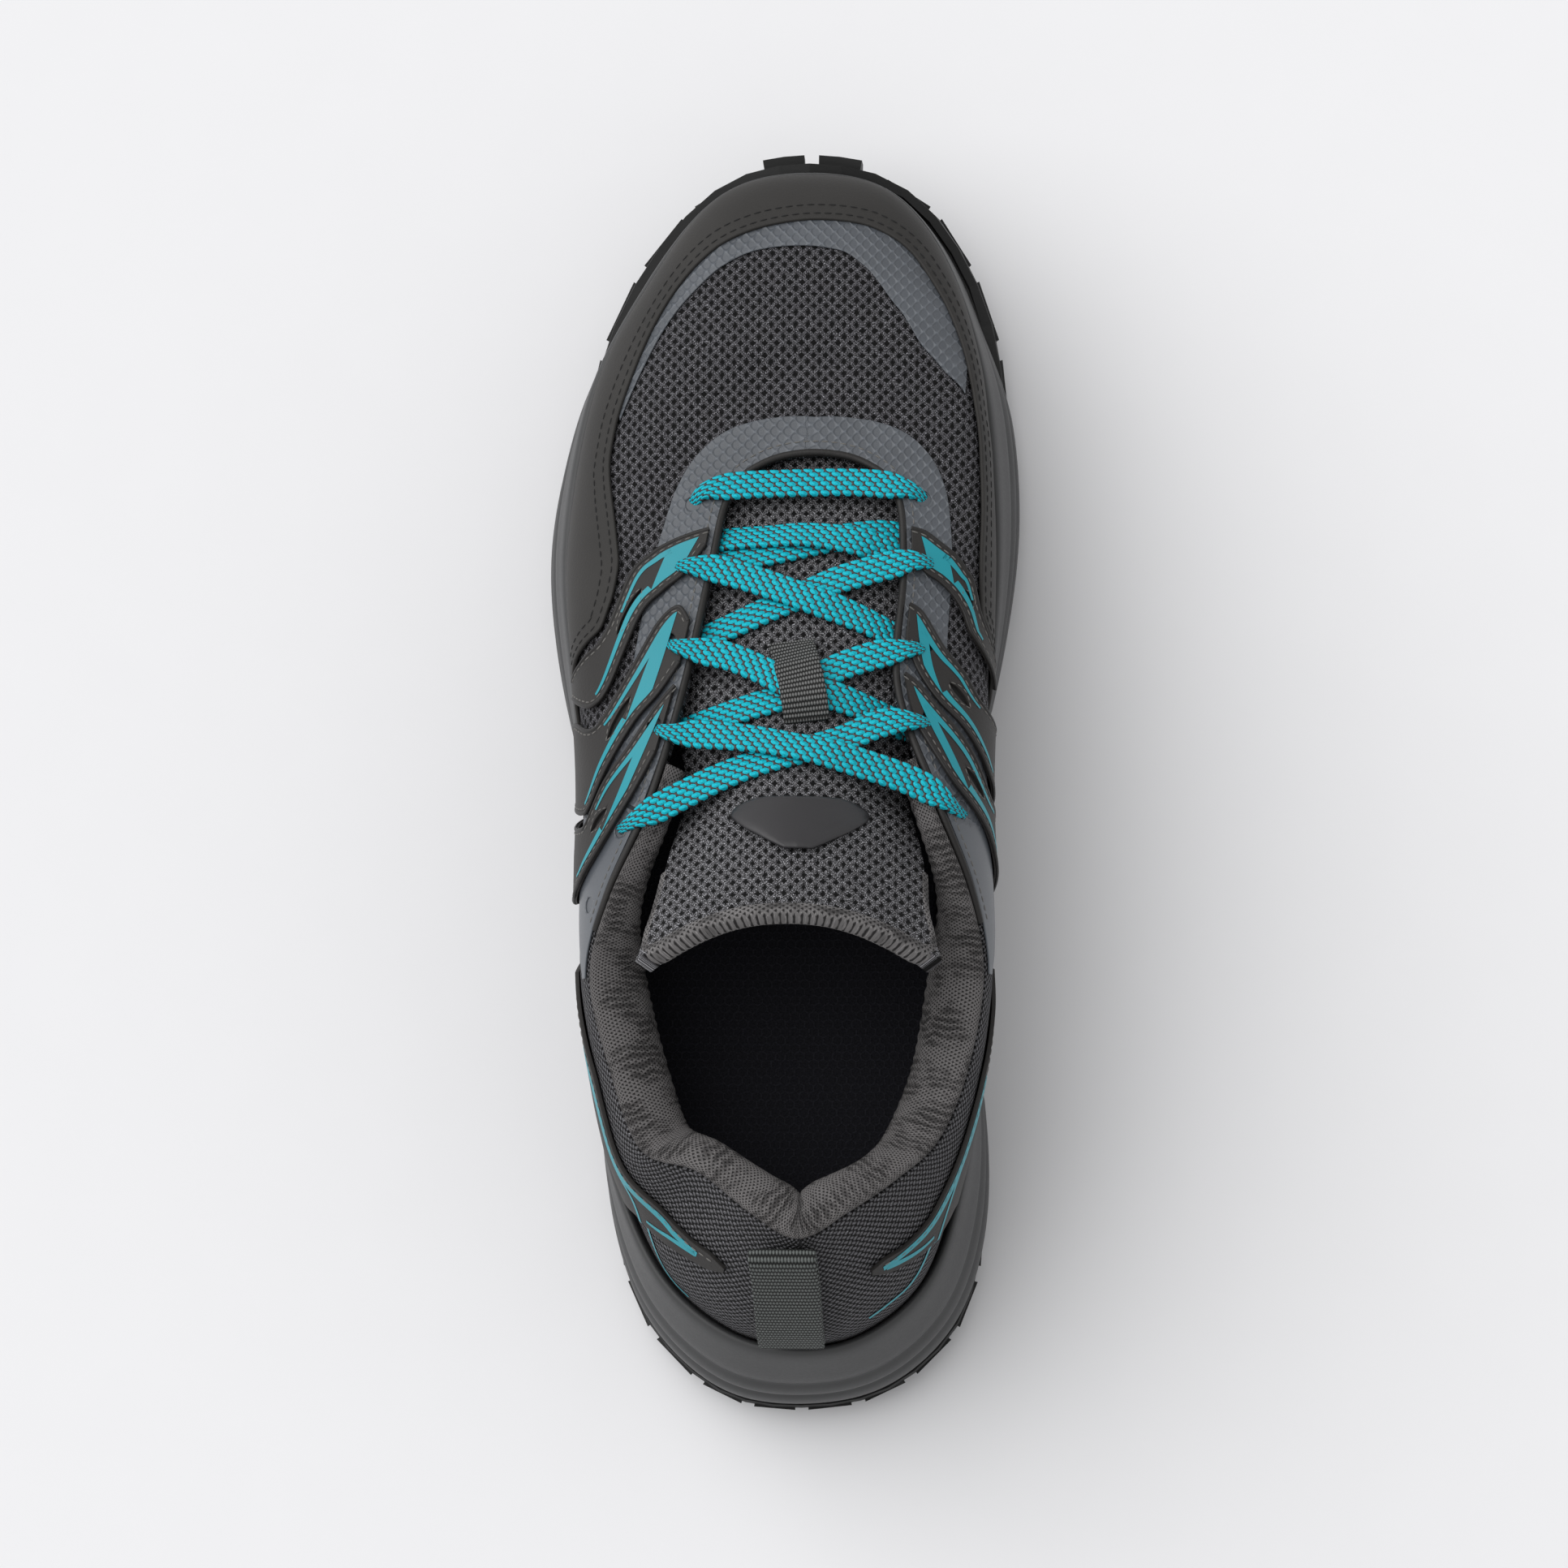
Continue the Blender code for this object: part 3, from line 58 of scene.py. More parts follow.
# One row per section round the foot: heel back, the outer side, the toe (row 12) and back again.
# foot is the line along the sole, edge the collar or throat. X and Y are shares of the shoe's width
# and length, Z of its heights, the reaches shares of the way up, bulge and slope degrees.
ringColumns = "footX footY footZ edgeX edgeY edgeZ lowReach highReach bulge slope pad".split()
ringRows = np.array([
    (0.044, -0.463, 1.0, 0.066, -0.406, 1.0, 0.34, 0.36, 4, 66, 0.88),
    (-0.088, -0.451, 1.0, -0.031, -0.386, 0.97, 0.34, 0.36, 4, 64, 0.88),
    (-0.217, -0.409, 1.0, -0.14, -0.352, 0.87, 0.34, 0.36, 6, 62, 0.72),
    (-0.301, -0.339, 1.0, -0.258, -0.332, 0.75, 0.34, 0.36, 8, 62, 1.04),
    (-0.354, -0.255, 0.98, -0.327, -0.265, 0.68, 0.36, 0.36, 6, 66, 1.0),
    (-0.367, -0.154, 0.95, -0.368, -0.195, 0.7, 0.36, 0.38, 3, 68, 0.96),
    (-0.376, -0.047, 0.92, -0.327, -0.138, 0.9, 0.36, 0.36, 2, 52, 0.6),
    (-0.407, 0.067, 0.86, -0.239, -0.067, 1.07, 0.36, 0.36, 2, 36, 0.36),
    (-0.431, 0.174, 0.81, -0.173, 0.027, 1.02, 0.36, 0.36, 2, 26, 0.5),
    (-0.374, 0.309, 0.83, -0.128, 0.121, 0.82, 0.32, 0.38, 2, 20, 0.5),
    (-0.248, 0.399, 0.88, -0.093, 0.188, 0.66, 0.3, 0.4, 4, 14, 0.5),
    (-0.115, 0.458, 0.94, -0.022, 0.215, 0.58, 0.28, 0.42, 5, 11, 0.5),
    (0.053, 0.4715, 0.97, 0.08, 0.223, 0.555, 0.27, 0.43, 5, 10, 0.5),
    (0.217, 0.459, 0.94, 0.181, 0.215, 0.58, 0.28, 0.42, 5, 11, 0.5),
    (0.336, 0.401, 0.88, 0.248, 0.188, 0.66, 0.3, 0.4, 4, 14, 0.5),
    (0.407, 0.309, 0.83, 0.261, 0.121, 0.82, 0.32, 0.38, 2, 20, 0.5),
    (0.434, 0.181, 0.81, 0.252, 0.027, 1.02, 0.36, 0.36, 2, 26, 0.5),
    (0.416, 0.06, 0.86, 0.327, -0.06, 1.08, 0.36, 0.36, 2, 36, 0.36),
    (0.367, -0.047, 0.92, 0.403, -0.131, 0.91, 0.36, 0.36, 5, 54, 0.6),
    (0.361, -0.154, 0.95, 0.433, -0.191, 0.7, 0.36, 0.38, 10, 68, 0.96),
    (0.385, -0.255, 0.98, 0.403, -0.265, 0.68, 0.36, 0.36, 8, 66, 1.0),
    (0.363, -0.339, 1.0, 0.345, -0.323, 0.75, 0.34, 0.36, 8, 62, 1.02),
    (0.301, -0.413, 1.0, 0.265, -0.356, 0.87, 0.34, 0.36, 6, 62, 0.78),
    (0.177, -0.454, 1.0, 0.165, -0.385, 0.97, 0.34, 0.36, 4, 64, 0.88),
])
sections = len(ringRows)


# The upper's surface: u counts sections round the foot, v goes from the sole (0) to the edge (1)

def spline(rows, at, closed=False):
    at = np.asarray(at, float)
    rows = np.asarray(rows, float)
    first = np.floor(at).astype(int)
    part = (at - first).reshape(-1, *[1] * (rows.ndim - 1))
    ends = len(rows)
    picks = [(first + k) % ends if closed else np.clip(first + k, 0, ends - 1) for k in (-1, 0, 1, 2)]
    a, b, c, d = (rows[pick] for pick in picks)
    curve = b + (c - a) * (0.5 * part)
    curve = curve + (a * 2 - b * 5 + c * 4 - d) * (0.5 * part**2)
    return curve + (b * 3 - a - c * 3 + d) * (0.5 * part**3)


def unit(vectors):
    return vectors / np.linalg.norm(vectors, axis=1, keepdims=True)


def waysAlong(places):
    return unit(np.gradient(places, axis=0))


def lengthsAlong(places):
    return np.concatenate([[0], np.cumsum(np.linalg.norm(np.diff(places, axis=0), axis=1))])


def ringAt(u):
    return dict(zip(ringColumns, spline(ringRows, u, True).T))


def planAt(kind, u):
    row = ringAt(u)
    return np.stack([row[kind + "X"] * shoe["width"], row[kind + "Y"] * shoe["length"], 0 * row["pad"]], 1)


def inward(kind, u):
    along = planAt(kind, u + 0.02) - planAt(kind, u - 0.02)
    return unit(np.stack([along[:, 1], -along[:, 0], 0 * along[:, 0]], 1))


def surfaceAt(u, v):
    row = ringAt(u)
    foot, edge = planAt("foot", u), planAt("edge", u)
    foot[:, 2] = row["footZ"] * shoe["footHeight"] - shoe["footDrop"]
    edge[:, 2] = row["footZ"] * shoe["footHeight"] + row["edgeZ"] * shoe["rise"]
    span = np.linalg.norm(edge - foot, axis=1)[:, None]
    bulge, slope = np.radians(row["bulge"])[:, None], np.radians(row["slope"])[:, None]
    up = np.array([[0.0, 0.0, 1.0]])
    low = foot + (up * np.cos(bulge) - inward("foot", u) * np.sin(bulge)) * span * row["lowReach"][:, None]
    high = edge - (up * np.sin(slope) + inward("edge", u) * np.cos(slope)) * span * row["highReach"][:, None]
    v = np.asarray(v, float)[:, None]
    w = 1 - v
    return foot * w**3 + low * 3 * w * w * v + high * 3 * w * v * v + edge * v**3


def normalAt(u, v):
    across = surfaceAt(u + 0.01, v) - surfaceAt(u - 0.01, v)
    upwards = surfaceAt(u, v + 0.01) - surfaceAt(u, v - 0.01)
    return unit(np.cross(upwards, across))


# Soft troughs and ridges where the forefoot bends: start and end in the plan, half width and depth
creases = [
    {"start": (-19, 79), "end": (14, 92), "reach": 5.0, "depth": 0.9},
    {"start": (22, 91), "end": (42, 82), "reach": 4.5, "depth": 0.7},
    {"start": (-30, 66), "end": (-21, 84), "reach": 5.0, "depth": -0.4},
]


def creaseAt(places):
    lift = np.zeros(len(places))
    for crease in creases:
        start, end = np.array(crease["start"]) * mm, np.array(crease["end"]) * mm
        along = end - start
        share = np.clip(((places[:, :2] - start) @ along) / (along @ along), -0.15, 1.15)
        away = np.linalg.norm(places[:, :2] - start - share[:, None] * along, axis=1)
        away = away / (crease["reach"] * mm)
        fade = np.clip(1 - np.abs(share - 0.5) * 1.35, 0, 1) ** 0.7
        lift -= crease["depth"] * mm * np.exp(-away**2) * fade
        lift += crease["depth"] * mm * 0.45 * np.exp(-(away - 2.1) ** 2) * fade
    return lift


def lay(u, v, proud=0.0):
    u, v, proud = (np.asarray(values, float).ravel() for values in np.broadcast_arrays(u, v, proud))
    base = surfaceAt(u, v)
    return base + normalAt(u, v) * (proud + creaseAt(base))[:, None]


# Shader maths on sockets

class Wire:
    def __init__(self, finish, socket):
        self.finish = finish
        self.socket = socket

    def sum(self, operation, *others):
        return self.finish.node("ShaderNodeMath", {"operation": operation}, [self, *others]).out()

    def __add__(self, other): return self.sum("ADD", other)
    def __radd__(self, other): return self.sum("ADD", other)
    def __sub__(self, other): return self.sum("SUBTRACT", other)
    def __rsub__(self, other): return (self * -1).sum("ADD", other)
    def __mul__(self, other): return self.sum("MULTIPLY", other)
    def __rmul__(self, other): return self.sum("MULTIPLY", other)
    def __truediv__(self, other): return self.sum("DIVIDE", other)
    def __pow__(self, other): return self.sum("POWER", other)
    def __mod__(self, other): return self.sum("FLOORED_MODULO", other)
    def __abs__(self): return self.sum("ABSOLUTE")
    def floor(self): return self.sum("FLOOR")
    def sine(self): return self.sum("SINE")
    def least(self, other): return self.sum("MINIMUM", other)
    def most(self, other): return self.sum("MAXIMUM", other)

    def fit(self, low, high, start=0.0, end=1.0):
        settings = {"interpolation_type": "SMOOTHSTEP", "clamp": True}
        return self.finish.node("ShaderNodeMapRange", settings, [self, low, high, start, end]).out()


class NodeBox:
    def __init__(self, finish, node):
        self.finish = finish
        self.node = node

    def out(self, name=0):
        return Wire(self.finish, self.node.outputs[name])


class Finish:
    def __init__(self, name, roughness=0.6, **sockets):
        self.material = bpy.data.materials.new(name)
        self.material.use_nodes = True
        self.tree = self.material.node_tree
        self.shader = self.tree.nodes["Principled BSDF"]
        self.shader.inputs["Roughness"].default_value = roughness
        for socket, value in sockets.items():
            self.shader.inputs[socket.replace("_", " ")].default_value = value

    def node(self, kind, settings=None, values=()):
        made = self.tree.nodes.new(kind)
        for key, value in (settings or {}).items():
            setattr(made, key, value)
        pairs = values.items() if isinstance(values, dict) else enumerate(values)
        for key, value in pairs:
            self.give(made.inputs[key], value)
        return NodeBox(self, made)

    def give(self, socket, value):
        if isinstance(value, Wire):
            self.tree.links.new(value.socket, socket)
        elif isinstance(value, tuple) and len(value) == 3 and socket.type == "RGBA":
            socket.default_value = (*value, 1)
        else:
            socket.default_value = value

    def place(self):
        return self.node("ShaderNodeTexCoord").out("Object")

    def cloth(self):
        split = self.node("ShaderNodeSeparateXYZ", None, [self.node("ShaderNodeTexCoord").out("UV")])
        return split.out("X"), split.out("Y")

    def noise(self, size, detail=3.0, roughness=0.5, place=None):
        values = {"Vector": place or self.place(), "Scale": 1 / size, "Detail": detail,
                  "Roughness": roughness}
        return self.node("ShaderNodeTexNoise", None, values).out("Fac")

    def cells(self, size):
        values = {"Vector": self.place(), "Scale": 1 / size}
        return self.node("ShaderNodeTexVoronoi", None, values).out("Distance")

    def join(self, x, y, z=0.0):
        return self.node("ShaderNodeCombineXYZ", None, [x, y, z]).out()

    def blend(self, share, first, second):
        box = self.node("ShaderNodeMix", {"data_type": "RGBA"}, {"Factor": share})
        self.give(box.node.inputs[6], first)
        self.give(box.node.inputs[7], second)
        return Wire(self, box.node.outputs[2])

    def set(self, socket, value):
        self.give(self.shader.inputs[socket], value)

    def bump(self, height, depth, strength=1.0):
        values = {"Height": height, "Distance": depth, "Strength": strength}
        if self.shader.inputs["Normal"].links:
            values["Normal"] = Wire(self, self.shader.inputs["Normal"].links[0].from_socket)
        self.set("Normal", self.node("ShaderNodeBump", None, values).out("Normal"))

    def lattice(self, x, y, width, height):
        pairs = []
        for shift in (0.0, 0.5):
            across = ((x / width + shift) % 1.0 - 0.5) * width
            along = ((y / height + shift) % 1.0 - 0.5) * height
            pairs.append((across, along))
        return pairs


def shaded(colour, share):
    return tuple(min(1.0, part * share) for part in colour)


def nearest(shapes):
    first, second = shapes
    return first.least(second)


# An open spacer knit: staggered diamond holes with fine stitches between them; painted shade in the holes
# and pits, a painted highlight round each hole and painted glints on the yarn
def makeKnit(name, width, height, hole, thread, glint, speck=0.62):
    finish = Finish(name, 0.8, Specular_IOR_Level=0.2)
    x, y = finish.cloth()
    drift = finish.noise(1.6, 2.0, place=finish.join(x, y))
    x = x + (drift - 0.5) * 0.5
    y = y + (drift - 0.5) * 0.5
    away = nearest(abs(across) / hole + abs(along) / (hole * 1.25)
                   for across, along in finish.lattice(x, y, width, height))
    opening = away.fit(0.75, 1.15, 1.0, 0.0)
    rim = away.fit(1.0, 1.9, 1.0, 0.0) * (1 - opening)
    loops = nearest(abs(across) / (width / 9) + abs(along - abs(across) * 0.7) / (height / 13)
                    for across, along in finish.lattice(x, y, width / 3, height / 4))
    pit = loops.fit(0.5, 1.5, 1.0, 0.0)
    strand = finish.noise(0.20, 3.0, 0.75, finish.join(x, y * 0.55))
    spark = strand.fit(speck - 0.06, speck + 0.06) * (1 - opening)
    broad = finish.noise(6.0, 2.0, place=finish.join(x, y)).fit(0.3, 0.7)
    colour = finish.blend(broad * 0.35, thread, shaded(thread, 0.7))
    # Painted highlight: the yarn round each hole is coloured lighter
    colour = finish.blend(rim * 0.35, colour, shaded(thread, 1.5))
    # Painted shade: the pits between stitches are coloured darker
    colour = finish.blend(pit * 0.9, colour, shaded(thread, 0.10))
    # Painted glints: specks of yarn are coloured light
    colour = finish.blend(spark * 0.8, colour, glint)
    # Painted shade: the holes are coloured near black
    finish.set("Base Color", finish.blend(opening * 0.97, colour, shaded(thread, 0.02)))
    finish.set("Roughness", 0.85 - spark * 0.35)
    finish.bump(away.fit(0.7, 1.6), 0.55 * mm, 1.0)
    finish.bump(1 - pit, 0.16 * mm, 0.9)
    finish.bump(strand, 0.10 * mm, 0.8)
    return finish.material


# The quarters' denser knit: slanted loops in rows that turn about, with painted shade between the loops and
# painted glints on the yarn
def makeChainKnit(name, width, height, thread, glint):
    finish = Finish(name, 0.85, Specular_IOR_Level=0.2)
    x, y = finish.cloth()
    drift = finish.noise(1.8, 2.0, place=finish.join(x, y))
    x = x + (drift - 0.5) * 0.8
    y = y + (drift - 0.5) * 0.5
    loops = []
    for turn, (across, along) in zip((0.55, -0.55), finish.lattice(x, y, width, height)):
        first = (across * math.cos(turn) + along * math.sin(turn)) / (width * 0.40)
        second = (along * math.cos(turn) - across * math.sin(turn)) / (height * 0.24)
        loops.append((first * first + second * second) ** 0.5)
    away = nearest(loops)
    yarn = away.fit(0.55, 1.15, 1.0, 0.0)
    strand = finish.noise(0.22, 3.0, 0.7, finish.join(x, y * 0.7))
    spark = strand.fit(0.55, 0.70) * yarn
    # Painted shade: the gaps between loops are coloured near black
    colour = finish.blend(yarn, shaded(thread, 0.03), thread)
    # Painted glints: specks of yarn are coloured light
    finish.set("Base Color", finish.blend(spark * 0.6, colour, glint))
    finish.bump(away.fit(0.1, 1.3, 1.0, 0.0), 0.45 * mm, 1.0)
    finish.bump(strand, 0.10 * mm, 0.8)
    return finish.material


# Film pressed over the knit, so that its cells show through as shallow rings, with painted shade in their
# hollows and a painted highlight on their ridges
def makeFilm(name, colour, width, height):
    finish = Finish(name, 0.40, Coat_Weight=0.10, Coat_Roughness=0.35)
    x, y = finish.cloth()
    away = nearest(((across / width) ** 2 + (along / height) ** 2 * 0.82) ** 0.5
                   for across, along in finish.lattice(x, y, width, height))
    rib = away.fit(0.22, 0.46)
    fine = finish.noise(0.35 * mm, 2.0)
    tone = finish.noise(14 * mm, 2.0)
    # Painted shade in the cells' hollows and painted highlight on their ridges
    shade = finish.blend(rib, shaded(colour, 0.72), shaded(colour, 1.2))
    finish.set("Base Color", finish.blend(tone.fit(0.35, 0.7) * 0.3, shade, shaded(colour, 1.3)))
    finish.set("Roughness", 0.36 + fine * 0.16)
    finish.bump(rib, 0.34 * mm, 0.9)
    finish.bump(fine, 0.03 * mm, 0.6)
    return finish.material


def makeSynthetic(name, colour, roughness=0.62, coat=0.0):
    finish = Finish(name, roughness, Specular_IOR_Level=0.3, Coat_Weight=coat, Coat_Roughness=0.4)
    grain = finish.cells(0.75 * mm)
    fine = finish.noise(0.22 * mm, 3.0)
    tone = finish.noise(22 * mm, 3.0)
    finish.set("Base Color", finish.blend(tone.fit(0.3, 0.75) * 0.5, colour, shaded(colour, 1.35)))
    finish.set("Roughness", roughness - 0.05 + fine * 0.16)
    finish.bump(grain, 0.05 * mm, 0.6)
    finish.bump(fine, 0.03 * mm, 0.6)
    return finish.material


def makePlain(name, colour, roughness, grainSize=0.5, grainDepth=0.04, spread=1.3, **sockets):
    finish = Finish(name, roughness, **sockets)
    fine = finish.noise(grainSize * mm, 3.0, 0.6)
    tone = finish.noise(18 * mm, 3.0)
    finish.set("Base Color", finish.blend(tone.fit(0.3, 0.75) * 0.6, colour, shaded(colour, spread)))
    finish.set("Roughness", roughness - 0.06 + fine * 0.14)
    finish.bump(fine, grainDepth * mm, 0.7)
    return finish.material


# Fine knit with tiny pits, gathered in small ripples across the collar's roll, with painted shade in the
# pits and the ripples' troughs and painted highlights on the fuzz
def makePileKnit(name, colour, stitch, ripple):
    finish = Finish(name, 0.92, Specular_IOR_Level=0.15)
    x, y = finish.cloth()
    drift = finish.noise(5.0, 2.0, place=finish.join(x, y))
    wave = ((x + drift * 4.0) * (math.tau / ripple)).sine() * 0.5 + 0.5
    gathered = finish.noise(9.0, 2.0, place=finish.join(x, y)).fit(0.38, 0.62) * wave
    pairs = finish.lattice(x + drift * 0.8, y + drift * 0.8, stitch, stitch * 1.5)
    away = nearest(abs(across) / (stitch * 0.30) + abs(along - abs(across) * 0.6) / (stitch * 0.34)
                   for across, along in pairs)
    pit = away.fit(0.5, 1.4, 1.0, 0.0)
    fuzz = finish.noise(0.3, 3.0, place=finish.join(x, y))
    # Painted shade: the pits are coloured near black
    shade = finish.blend(pit * 0.92, colour, shaded(colour, 0.07))
    # Painted highlights: flecks of fuzz are coloured lighter
    shade = finish.blend(fuzz.fit(0.5, 0.70) * 0.6 * (1 - pit), shade, shaded(colour, 2.2))
    # Painted shade: the troughs of the gathered ripples are coloured darker
    finish.set("Base Color", finish.blend(gathered * 0.75, shade, shaded(colour, 0.16)))
    finish.bump(1 - gathered, 0.60 * mm, 1.0)
    finish.bump(1 - pit, 0.14 * mm, 0.9)
    finish.bump(fuzz, 0.06 * mm, 0.6)
    return finish.material


# The insole's cloth: a faint net of six-sided cells over tiny dots
def makeSock(name, colour, size):
    finish = Finish(name, 0.9, Specular_IOR_Level=0.1)
    x, y = finish.cloth()
    away = nearest(abs(across).most(abs(across) * 0.5 + abs(along) * 0.866)
                   for across, along in finish.lattice(x, y, size, size * 1.732))
    net = away.fit(size * 0.36, size * 0.50)
    dots = finish.noise(0.45, 2.0, place=finish.join(x, y))
    shade = finish.blend(net * 0.6, colour, shaded(colour, 2.0))
    finish.set("Base Color", finish.blend(dots.fit(0.45, 0.6) * 0.55, shade, shaded(colour, 0.4)))
    finish.bump(net, 0.15 * mm, 0.8)
    finish.bump(dots, 0.10 * mm, 0.8)
    return finish.material


# A flat braid: rows of slanted oval floats, with short dark ones between them
def makeLaceWeave(name, colour, fleck, width, rows=6.0, step=2.6):
    finish = Finish(name, 0.62, Specular_IOR_Level=0.3)
    x, y = finish.cloth()
    across = x / (width / rows)
    row = across.floor()
    inRow = (across % 1.0 - 0.5) * 2
    along = (y / step + (row % 2.0) * 0.5) % 1.0 - 0.5
    slant = along + inRow * 0.10
    bright = ((inRow * 0.80) ** 2 + (slant / 0.41) ** 2) ** 0.5
    other = 0.5 - abs(slant)
    dark = ((inRow * 1.0) ** 2 + (other / 0.12) ** 2) ** 0.5
    floats = bright.fit(0.84, 1.04, 1.0, 0.0)
    shorts = dark.fit(0.8, 1.15, 1.0, 0.0)
    strand = finish.noise(0.16, 3.0, 0.6, finish.join(x * 1.6, y * 0.5))
    yarn = finish.blend(strand.fit(0.3, 0.7), shaded(colour, 0.62), shaded(colour, 1.25))
    tone = finish.blend(shorts, shaded(fleck, 0.12), fleck)
    finish.set("Base Color", finish.blend(floats, tone, yarn))
    finish.set("Roughness", 0.55 + strand * 0.2)
    finish.bump(bright.fit(0.1, 1.1, 1.0, 0.0).most(dark.fit(0.1, 1.2, 0.7, 0.0)), 0.42 * mm, 1.0)
    finish.bump(strand, 0.06 * mm, 0.7)
    return finish.material


# Ribbed webbing: rows of small beads, with painted shade in the grooves between them and painted highlights
# on the fuzz
def makeWebbing(name, colour, rib, bead):
    finish = Finish(name, 0.72, Specular_IOR_Level=0.25)
    x, y = finish.cloth()
    row = (y / rib).floor()
    inRow = (y / rib % 1.0 - 0.5) * 2
    inBead = ((x / bead + row % 2.0 * 0.5) % 1.0 - 0.5) * 2
    away = ((inRow * 1.05) ** 2 + (inBead * 0.85) ** 2) ** 0.5
    thread = away.fit(0.45, 1.0, 1.0, 0.0)
    fuzz = finish.noise(0.22, 2.0, place=finish.join(x, y))
    # Painted shade: the grooves between beads are coloured near black
    shade = finish.blend(thread, shaded(colour, 0.05), colour)
    # Painted highlights: flecks of fuzz on the beads are coloured lighter
    finish.set("Base Color", finish.blend(thread * fuzz.fit(0.5, 0.7) * 0.6, shade, shaded(colour, 2.0)))
    finish.bump(away.fit(0.2, 1.2, 1.0, 0.0), 0.42 * mm, 1.0)
    finish.bump(fuzz, 0.05 * mm, 0.6)
    return finish.material


teal = (0.002, 0.500, 0.620)
finishes = {
    "knit": makeKnit("vampKnit", 2.85, 3.10, 0.70, (0.060, 0.058, 0.064), (0.50, 0.50, 0.54), 0.585),
    "heelKnit": makeChainKnit("quarterKnit", 1.75, 1.9, (0.120, 0.118, 0.126), (0.75, 0.75, 0.80)),
    "tongueKnit": makeKnit("tongueKnit", 2.9, 3.15, 0.62, (0.060, 0.058, 0.062), (0.68, 0.68, 0.72), 0.575),
    "film": makeFilm("embossedFilm", (0.085, 0.094, 0.108), 3.0, 3.2),
    "plainFilm": makePlain("smoothFilm", (0.072, 0.080, 0.092), 0.36, 0.4, 0.02, Coat_Weight=0.1),
    "synthetic": makeSynthetic("mattSynthetic", (0.0235, 0.0222, 0.0208)),
    "strap": makeSynthetic("strapSynthetic", (0.0205, 0.019, 0.018), 0.52),
    "roll": makeSynthetic("rolledEdge", (0.016, 0.015, 0.0145), 0.45),
    "print": makePlain("tealPrint", (0.002, 0.245, 0.300), 0.40, 0.4, 0.02, 1.10),
    "collar": makePileKnit("collarKnit", (0.125, 0.119, 0.119), 1.1, 2.4),
    "binding": makePileKnit("bindingKnit", (0.150, 0.144, 0.144), 1.1, 3.0),
    "sock": makeSock("insoleCloth", (0.012, 0.012, 0.015), 2.2),
    "webbing": makeWebbing("tabWebbing", (0.120, 0.130, 0.125), 1.35, 0.75),
    "keeper": makeWebbing("keeperWebbing", (0.150, 0.152, 0.150), 1.2, 0.66),
    "lace": makeLaceWeave("laceWeave", teal, (0.085, 0.072, 0.070), 7.0),
    "foam": makePlain("midsoleFoam", (0.034, 0.0345, 0.0355), 0.50, 0.8, 0.035, 1.25),
    "rubber": makePlain("treadRubber", (0.011, 0.011, 0.011), 0.55, 0.6, 0.03, 1.5),
    "badge": makePlain("badgeRubber", (0.019, 0.018, 0.020), 0.42, 0.6, 0.03),
    "thread": makePlain("sewingThread", (0.110, 0.105, 0.098), 0.6, 0.25, 0.05),
    # Near black painted shade: the sheets in the straps' slots and under the eyelets, and the toe cap's
    # stitches
    "hole": makePlain("paintedHoleShade", (0.003, 0.003, 0.003), 0.8, 0.6, 0.02),
}
print("finishes made:", len(finishes))


# Ways of making pieces

def addPiece(name, bm, finish, replaces=(), smooth=True):
    mesh = bpy.data.meshes.new(name)
    bm.to_mesh(mesh)
    bm.free()
    if smooth:
        mesh.shade_smooth()
    mesh.materials.append(finishes[finish])
    piece = bpy.data.objects.new(name, mesh)
    bpy.context.scene.collection.objects.link(piece)
    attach(piece, "root")
    if replaces:
        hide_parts(*replaces)
    return piece


def solid(piece, thickness, bevel=0.0, segments=2, offset=1):
    wall = piece.modifiers.new("wall", "SOLIDIFY")
    wall.thickness = thickness
    wall.offset = offset
    if bevel:
        edge = piece.modifiers.new("edge", "BEVEL")
        edge.width = bevel
        edge.segments = segments
        edge.limit_method = "ANGLE"
        edge.angle_limit = math.radians(50)
    return piece


# A grid whose corners are laid on a surface; its cloth map is in millimetres
def gridMesh(across, along, place, clothOf=None, outward=None):
    bm = bmesh.new()
    bmesh.ops.create_grid(bm, x_segments=across, y_segments=along, size=0.5)
    shares = np.array([(vert.co.x + 0.5, vert.co.y + 0.5) for vert in bm.verts])
    places = place(shares[:, 0], shares[:, 1])
    cloth = clothOf(shares[:, 0], shares[:, 1], places) if clothOf else places[:, :2] * 1000
    for vert, spot in zip(bm.verts, places):
        vert.co = spot
    bm.verts.index_update()
    layerUv = bm.loops.layers.uv.new("cloth")
    for face in bm.faces:
        for corner in face.loops:
            corner[layerUv].uv = cloth[corner.vert.index]
    bm.normal_update()
    if outward is not None:
        face = max(bm.faces, key=lambda one: one.calc_area())
        if face.normal.dot(outward(face.calc_center_median())) < 0:
            bmesh.ops.reverse_faces(bm, faces=bm.faces)
    return bm


def fromCore(place):
    return place - Vector((0.005, place.y * 0.85, shoe["footHeight"] * 1.1))


def upward(place):
    return Vector((0, 0, 1))


def closedUp(bm, reach):
    bmesh.ops.remove_doubles(bm, verts=bm.verts, dist=reach)
    bmesh.ops.holes_fill(bm, edges=[edge for edge in bm.edges if edge.is_boundary])
    bmesh.ops.recalc_face_normals(bm, faces=bm.faces)
    return bm


